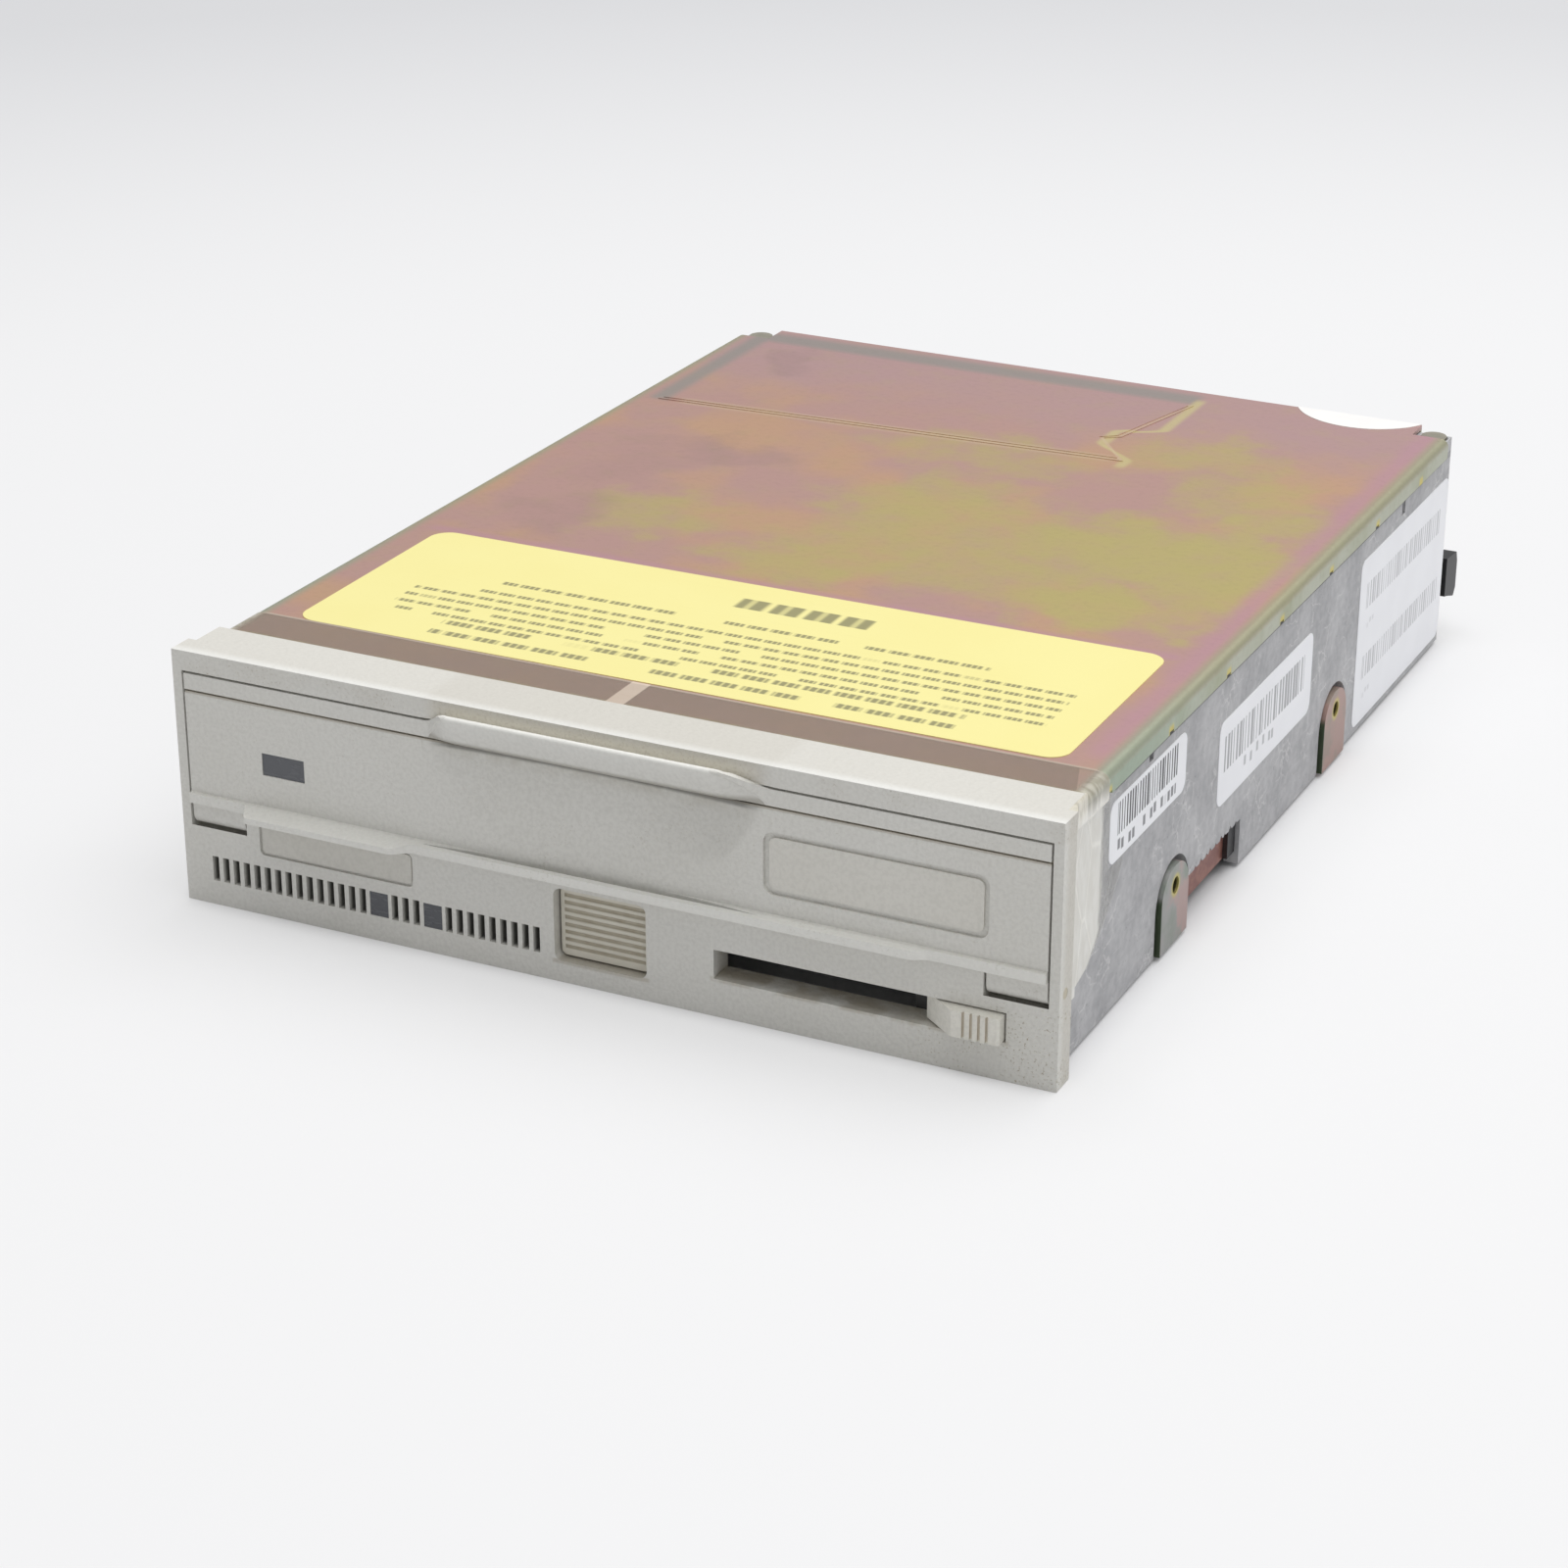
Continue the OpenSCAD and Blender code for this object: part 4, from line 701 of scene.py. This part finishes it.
# The depth is a share along x, which eases in from both ends, times a power of the way down from the upper edge.
def makeScoop():
    (left, right), (leftEdge, rightEdge) = scoop["ends"], scoop["edges"]
    x = np.linspace(left, right, scoop["steps"][0])
    wide = ease(x, left, leftEdge) * (1 - ease(x, rightEdge, right))
    z = np.linspace(scoop["low"], scoop["high"], scoop["steps"][1])
    face = scoop["front"] + scoop["depth"] * wide[:, None] * (1 - ease(z, *scoop["slope"])) ** 0.7
    face = np.concatenate([face, np.full((len(x), 2), scoop["back"])], axis=1)
    level = np.broadcast_to(np.append(z, [scoop["high"] - 0.1, scoop["low"]]), face.shape)
    sections = np.stack([np.broadcast_to(x[:, None], face.shape), face, level], axis=-1)[:, ::-1]
    loft("scoopFace", sections, plastic("scoopPlastic", moulded["tone"], layers=scoopLayers), "chassis")


# The tape's bridge from the panel's flange to the cover's fold and the casting: its outline as x, z and the share of
# the way out to the flange that it takes.
bridge = {
    "outline": [(73.0, 41.98, 0), (73.2, 41.96, 1), (73.36, 41.8, 1), (73.46, 41.5, 1), (73.5, 41.0, 1),
                (73.5, 37.7, 1), (72.5, 36.9, 1), (72.5, 9.2, 1), (72.35, 9.2, 1), (72.35, 36.8, 1),
                (73.35, 37.5, 1), (73.35, 41.0, 1), (73.3, 41.4, 1), (73.2, 41.6, 1), (73.0, 41.7, 0)],
    "flange": 74.5, "fold": 73.5, "from": 4.72, "to": 11.3, "flat": 8.8, "steps": 24,
}


# Outside the fold it is moved out by the whole way, inside it by more, up to a millimetre; the way shrinks towards the
# rear by a smooth power curve.
def makeTapeBridge():
    y = np.linspace(bridge["from"], bridge["to"], bridge["steps"])
    way = (1 - ease(y, bridge["from"], bridge["flat"]))[:, None] ** 1.5
    x, z, share = np.array(bridge["outline"]).T
    reach = bridge["flange"] - bridge["fold"] + np.clip(bridge["fold"] - x, 0, 1) * share
    across = x + reach * way * share
    sections = np.stack([across, np.broadcast_to(y[:, None], across.shape), np.broadcast_to(z, across.shape)], axis=-1)
    loft("tapeBridge", sections, tape, "chassis")


makeLip()
makeScoop()
makeTapeBridge()
print("lip, scoop and tape bridge made")

# Plain finishes of the pieces seen through openings and from below: tone, roughness, metallic, how mottled, and who
# wears it.
finishes = {
    "blackPlastic": (paint(28, 28, 30), 0.45, 0.0, 0.3,
                     ["stop_switch", "data_connector", "jumper_block", "rear_guard"]),
    "darkRubber": (paint(24, 24, 24), 0.7, 0.0, 0.3, ["shock_grommets"]),
    "boardMask": (paint(34, 86, 48), 0.35, 0.0, 0.4, ["main_board", "led_board"]),
    "chipBody": (paint(30, 30, 33), 0.5, 0.0, 0.3, ["board_chips"]),
    "tanResin": (paint(176, 140, 62), 0.35, 0.0, 0.3, ["board_capacitors"]),
    "blueResin": (paint(34, 44, 110), 0.3, 0.0, 0.3, ["terminator_packs"]),
    "amberLed": (paint(226, 200, 140), 0.2, 0.0, 0.2, ["indicator_leds"]),
    "nylon": (paint(220, 216, 200), 0.45, 0.0, 0.2, ["power_connector", "head_ramp"]),
    "goldPin": (paint(222, 190, 110), 0.25, 1.0, 0.2, ["data_pins"]),
    "tinPin": (paint(205, 204, 198), 0.35, 1.0, 0.2, ["power_pins"]),
    "zincScrew": (paint(196, 190, 172), 0.35, 0.9, 0.4,
                  ["cover_screws", "bracket_screws", "board_screws", "bezel_screws"]),
    "brightSteel": (paint(190, 190, 186), 0.35, 0.9, 0.3,
                    ["rail_right", "rail_left", "lift_pin", "actuator_shaft", "spindle_hub"]),
    "slideSteel": (paint(128, 128, 122), 0.45, 0.8, 0.4, ["cam_plate"]),
    "nickel": (paint(176, 174, 166), 0.3, 0.9, 0.3, ["actuator_base"]),
    "motorAlloy": (paint(176, 176, 178), 0.42, 0.7, 0.3, ["spindle_motor", "actuator_arm"]),
    "copper": (paint(176, 96, 52), 0.4, 0.6, 0.3, ["voice_coil"]),
    "ceramic": (paint(112, 112, 116), 0.25, 0.0, 0.2, ["read_heads"]),
    "filterPaper": (paint(226, 226, 220), 0.8, 0.0, 0.3, ["air_filter"]),
    "amberFilm": (paint(190, 116, 36), 0.25, 0.0, 0.3, ["flex_strip"]),
}
plainMottle = {"size": 2.0, "dark": 0.6, "bumpSize": 0.8, "bump": 0.01}


# A finish that noise mixes with a darker shade of itself, with fine bumps.
def simple(name, tone, rough, metal, mottle):
    g = Graph(name)
    shade = tuple(c * plainMottle["dark"] for c in tone[:3]) + (1.0,)
    tint = g.mix(g.noise(plainMottle["size"], 3.0).rise(0.35, 0.7) * mottle, tone, shade)
    return g.done(g.surface(tint, rough, metal, g.noise(plainMottle["bumpSize"]) * plainMottle["bump"]))


for finishName, (*look, nodeNames) in finishes.items():
    made = simple(finishName, *look)
    for nodeName in nodeNames:
        dress(nodeName, made)
print("inner pieces dressed")

# Widths in millimetres of the rounding on the moulded pieces' edges, and which edges are sharp enough for it.
rounding = {"widths": {"front_bezel": 0.2, "front_door": 0.22, "load_lever": 0.25, "stop_button": 0.15},
            "segments": 2, "angle": 40}


# Rounds the edges of a CAD node that turn by more than the angle.
def soften(name, width):
    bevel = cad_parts[name].modifiers.new("soften", "BEVEL")
    bevel.width = width / 1000
    bevel.segments = rounding["segments"]
    bevel.limit_method = "ANGLE"
    bevel.angle_limit = math.radians(rounding["angle"])
    bevel.use_clamp_overlap = True


for nodeName, width in rounding["widths"].items():
    soften(nodeName, width)
print("edges softened")

# The floor: a large pale sheet at the level the drive rests on, in metres. Its tones near and far, the middle and the
# reach of the change in millimetres, and the share of its tone that it shows by itself.
ground = {"half": 6, "level": -0.00075, "near": paint(250, 250, 250), "far": paint(203, 204, 207), "middle": (100, 0),
          "fade": (380, 900), "slowFade": (0, 500), "slowShare": 0.14, "paper": paint(222, 222, 223), "own": 0.5,
          "drive": ((-74, 74), (0, 197))}


# The tone darkens with the distance from the middle. Seen directly, part of it is the floor's own light, so that
# shadows stay light, except under the drive. From below the sheet can't be seen.
def makeFloor():
    mesh = bpy.data.meshes.new("floor")
    half, level = ground["half"], ground["level"]
    corners = [(-half, -half, level), (half, -half, level), (half, half, level), (-half, half, level)]
    mesh.from_pydata(corners, [], [(0, 1, 2, 3)])
    plane = bpy.data.objects.new("floor", mesh)
    bpy.context.scene.collection.objects.link(plane)
    g = Graph("floorPaper")
    middleX, middleY = ground["middle"]
    away = ((g.x - middleX) ** 2 + (g.y - middleY) ** 2) ** 0.5
    fade = away.rise(*ground["fade"]) + away.rise(*ground["slowFade"]) * ground["slowShare"]
    matte = g.node("ShaderNodeBsdfDiffuse", {}, Color=ground["paper"])
    plain = g.node("ShaderNodeEmission", {}, Color=g.mix(fade, ground["near"], ground["far"]))
    direct = g.node("ShaderNodeLightPath", {}) * (1 - g.lying(ground["drive"], 4, 4)) * ground["own"]
    sheet = g.node("ShaderNodeMixShader", {}, direct, matte, plain)
    below = g.node("ShaderNodeNewGeometry", {}, out="Backfacing")
    clear = g.node("ShaderNodeBsdfTransparent", {})
    mesh.materials.append(g.done(g.node("ShaderNodeMixShader", {}, below, sheet, clear)))


# The light: the sky's tone and strength, and area lamps, each a name, a place and a size in metres and its watts.
lighting = {
    "skyTone": paint(250, 250, 252),
    "sky": 0.45,
    "target": (0, 0, 0.02),
    "lamps": [
        ("overhead", (0.3, 0.3, 1.6), (2.0, 2.0), 33.0),
        ("frontFill", (0.9, -1.6, 0.9), (1.4, 1.0), 1.5),
    ],
}


# An area lamp turned so that it points at the target.
def makeLight(name, place, size, watts):
    data = bpy.data.lights.new(name, "AREA")
    data.shape = "RECTANGLE"
    data.size, data.size_y = size
    data.energy = watts
    lamp = bpy.data.objects.new(name, data)
    turn = (Vector(place) - Vector(lighting["target"])).to_track_quat("Z", "Y")
    lamp.matrix_world = Matrix.Translation(place) @ turn.to_matrix().to_4x4()
    bpy.context.scene.collection.objects.link(lamp)


makeFloor()
for lampSettings in lighting["lamps"]:
    makeLight(*lampSettings)
world = bpy.data.worlds.new("studio")
bpy.context.scene.world = world
world.use_nodes = True
sky = world.node_tree.nodes["Background"]
sky.inputs["Color"].default_value = lighting["skyTone"]
sky.inputs["Strength"].default_value = lighting["sky"]

# The camera: place in metres, azimuth, elevation and roll in degrees, and its optics in millimetres.
shot = {"place": (0.243060, -0.524759, 0.252405), "azimuth": 23.434, "elevation": 24.021, "roll": 1.093,
        "lens": 83.78, "sensor": 36, "shift": (-0.09937, 0.00945), "nearest": 0.01}


# Turns the camera so that it looks along the given azimuth and elevation, then rolls it.
def makeCamera():
    a, e, r = (math.radians(shot[k]) for k in ("azimuth", "elevation", "roll"))
    back = Vector((math.sin(a) * math.cos(e), -math.cos(a) * math.cos(e), math.sin(e)))
    right = (-back).cross(Vector((0, 0, 1))).normalized()
    up = right.cross(-back)
    rolledRight = right * math.cos(r) + up * math.sin(r)
    rolledUp = up * math.cos(r) - right * math.sin(r)
    turn = Matrix((rolledRight, rolledUp, back)).transposed().to_4x4()
    data = bpy.data.cameras.new("camera")
    data.sensor_width = shot["sensor"]
    data.lens = shot["lens"]
    data.shift_x, data.shift_y = shot["shift"]
    data.clip_start = shot["nearest"]
    camera = bpy.data.objects.new("camera", data)
    camera.matrix_world = Matrix.Translation(shot["place"]) @ turn
    bpy.context.scene.collection.objects.link(camera)
    bpy.context.scene.camera = camera


makeCamera()
bpy.context.scene.view_settings.view_transform = "Standard"
print("scene set")
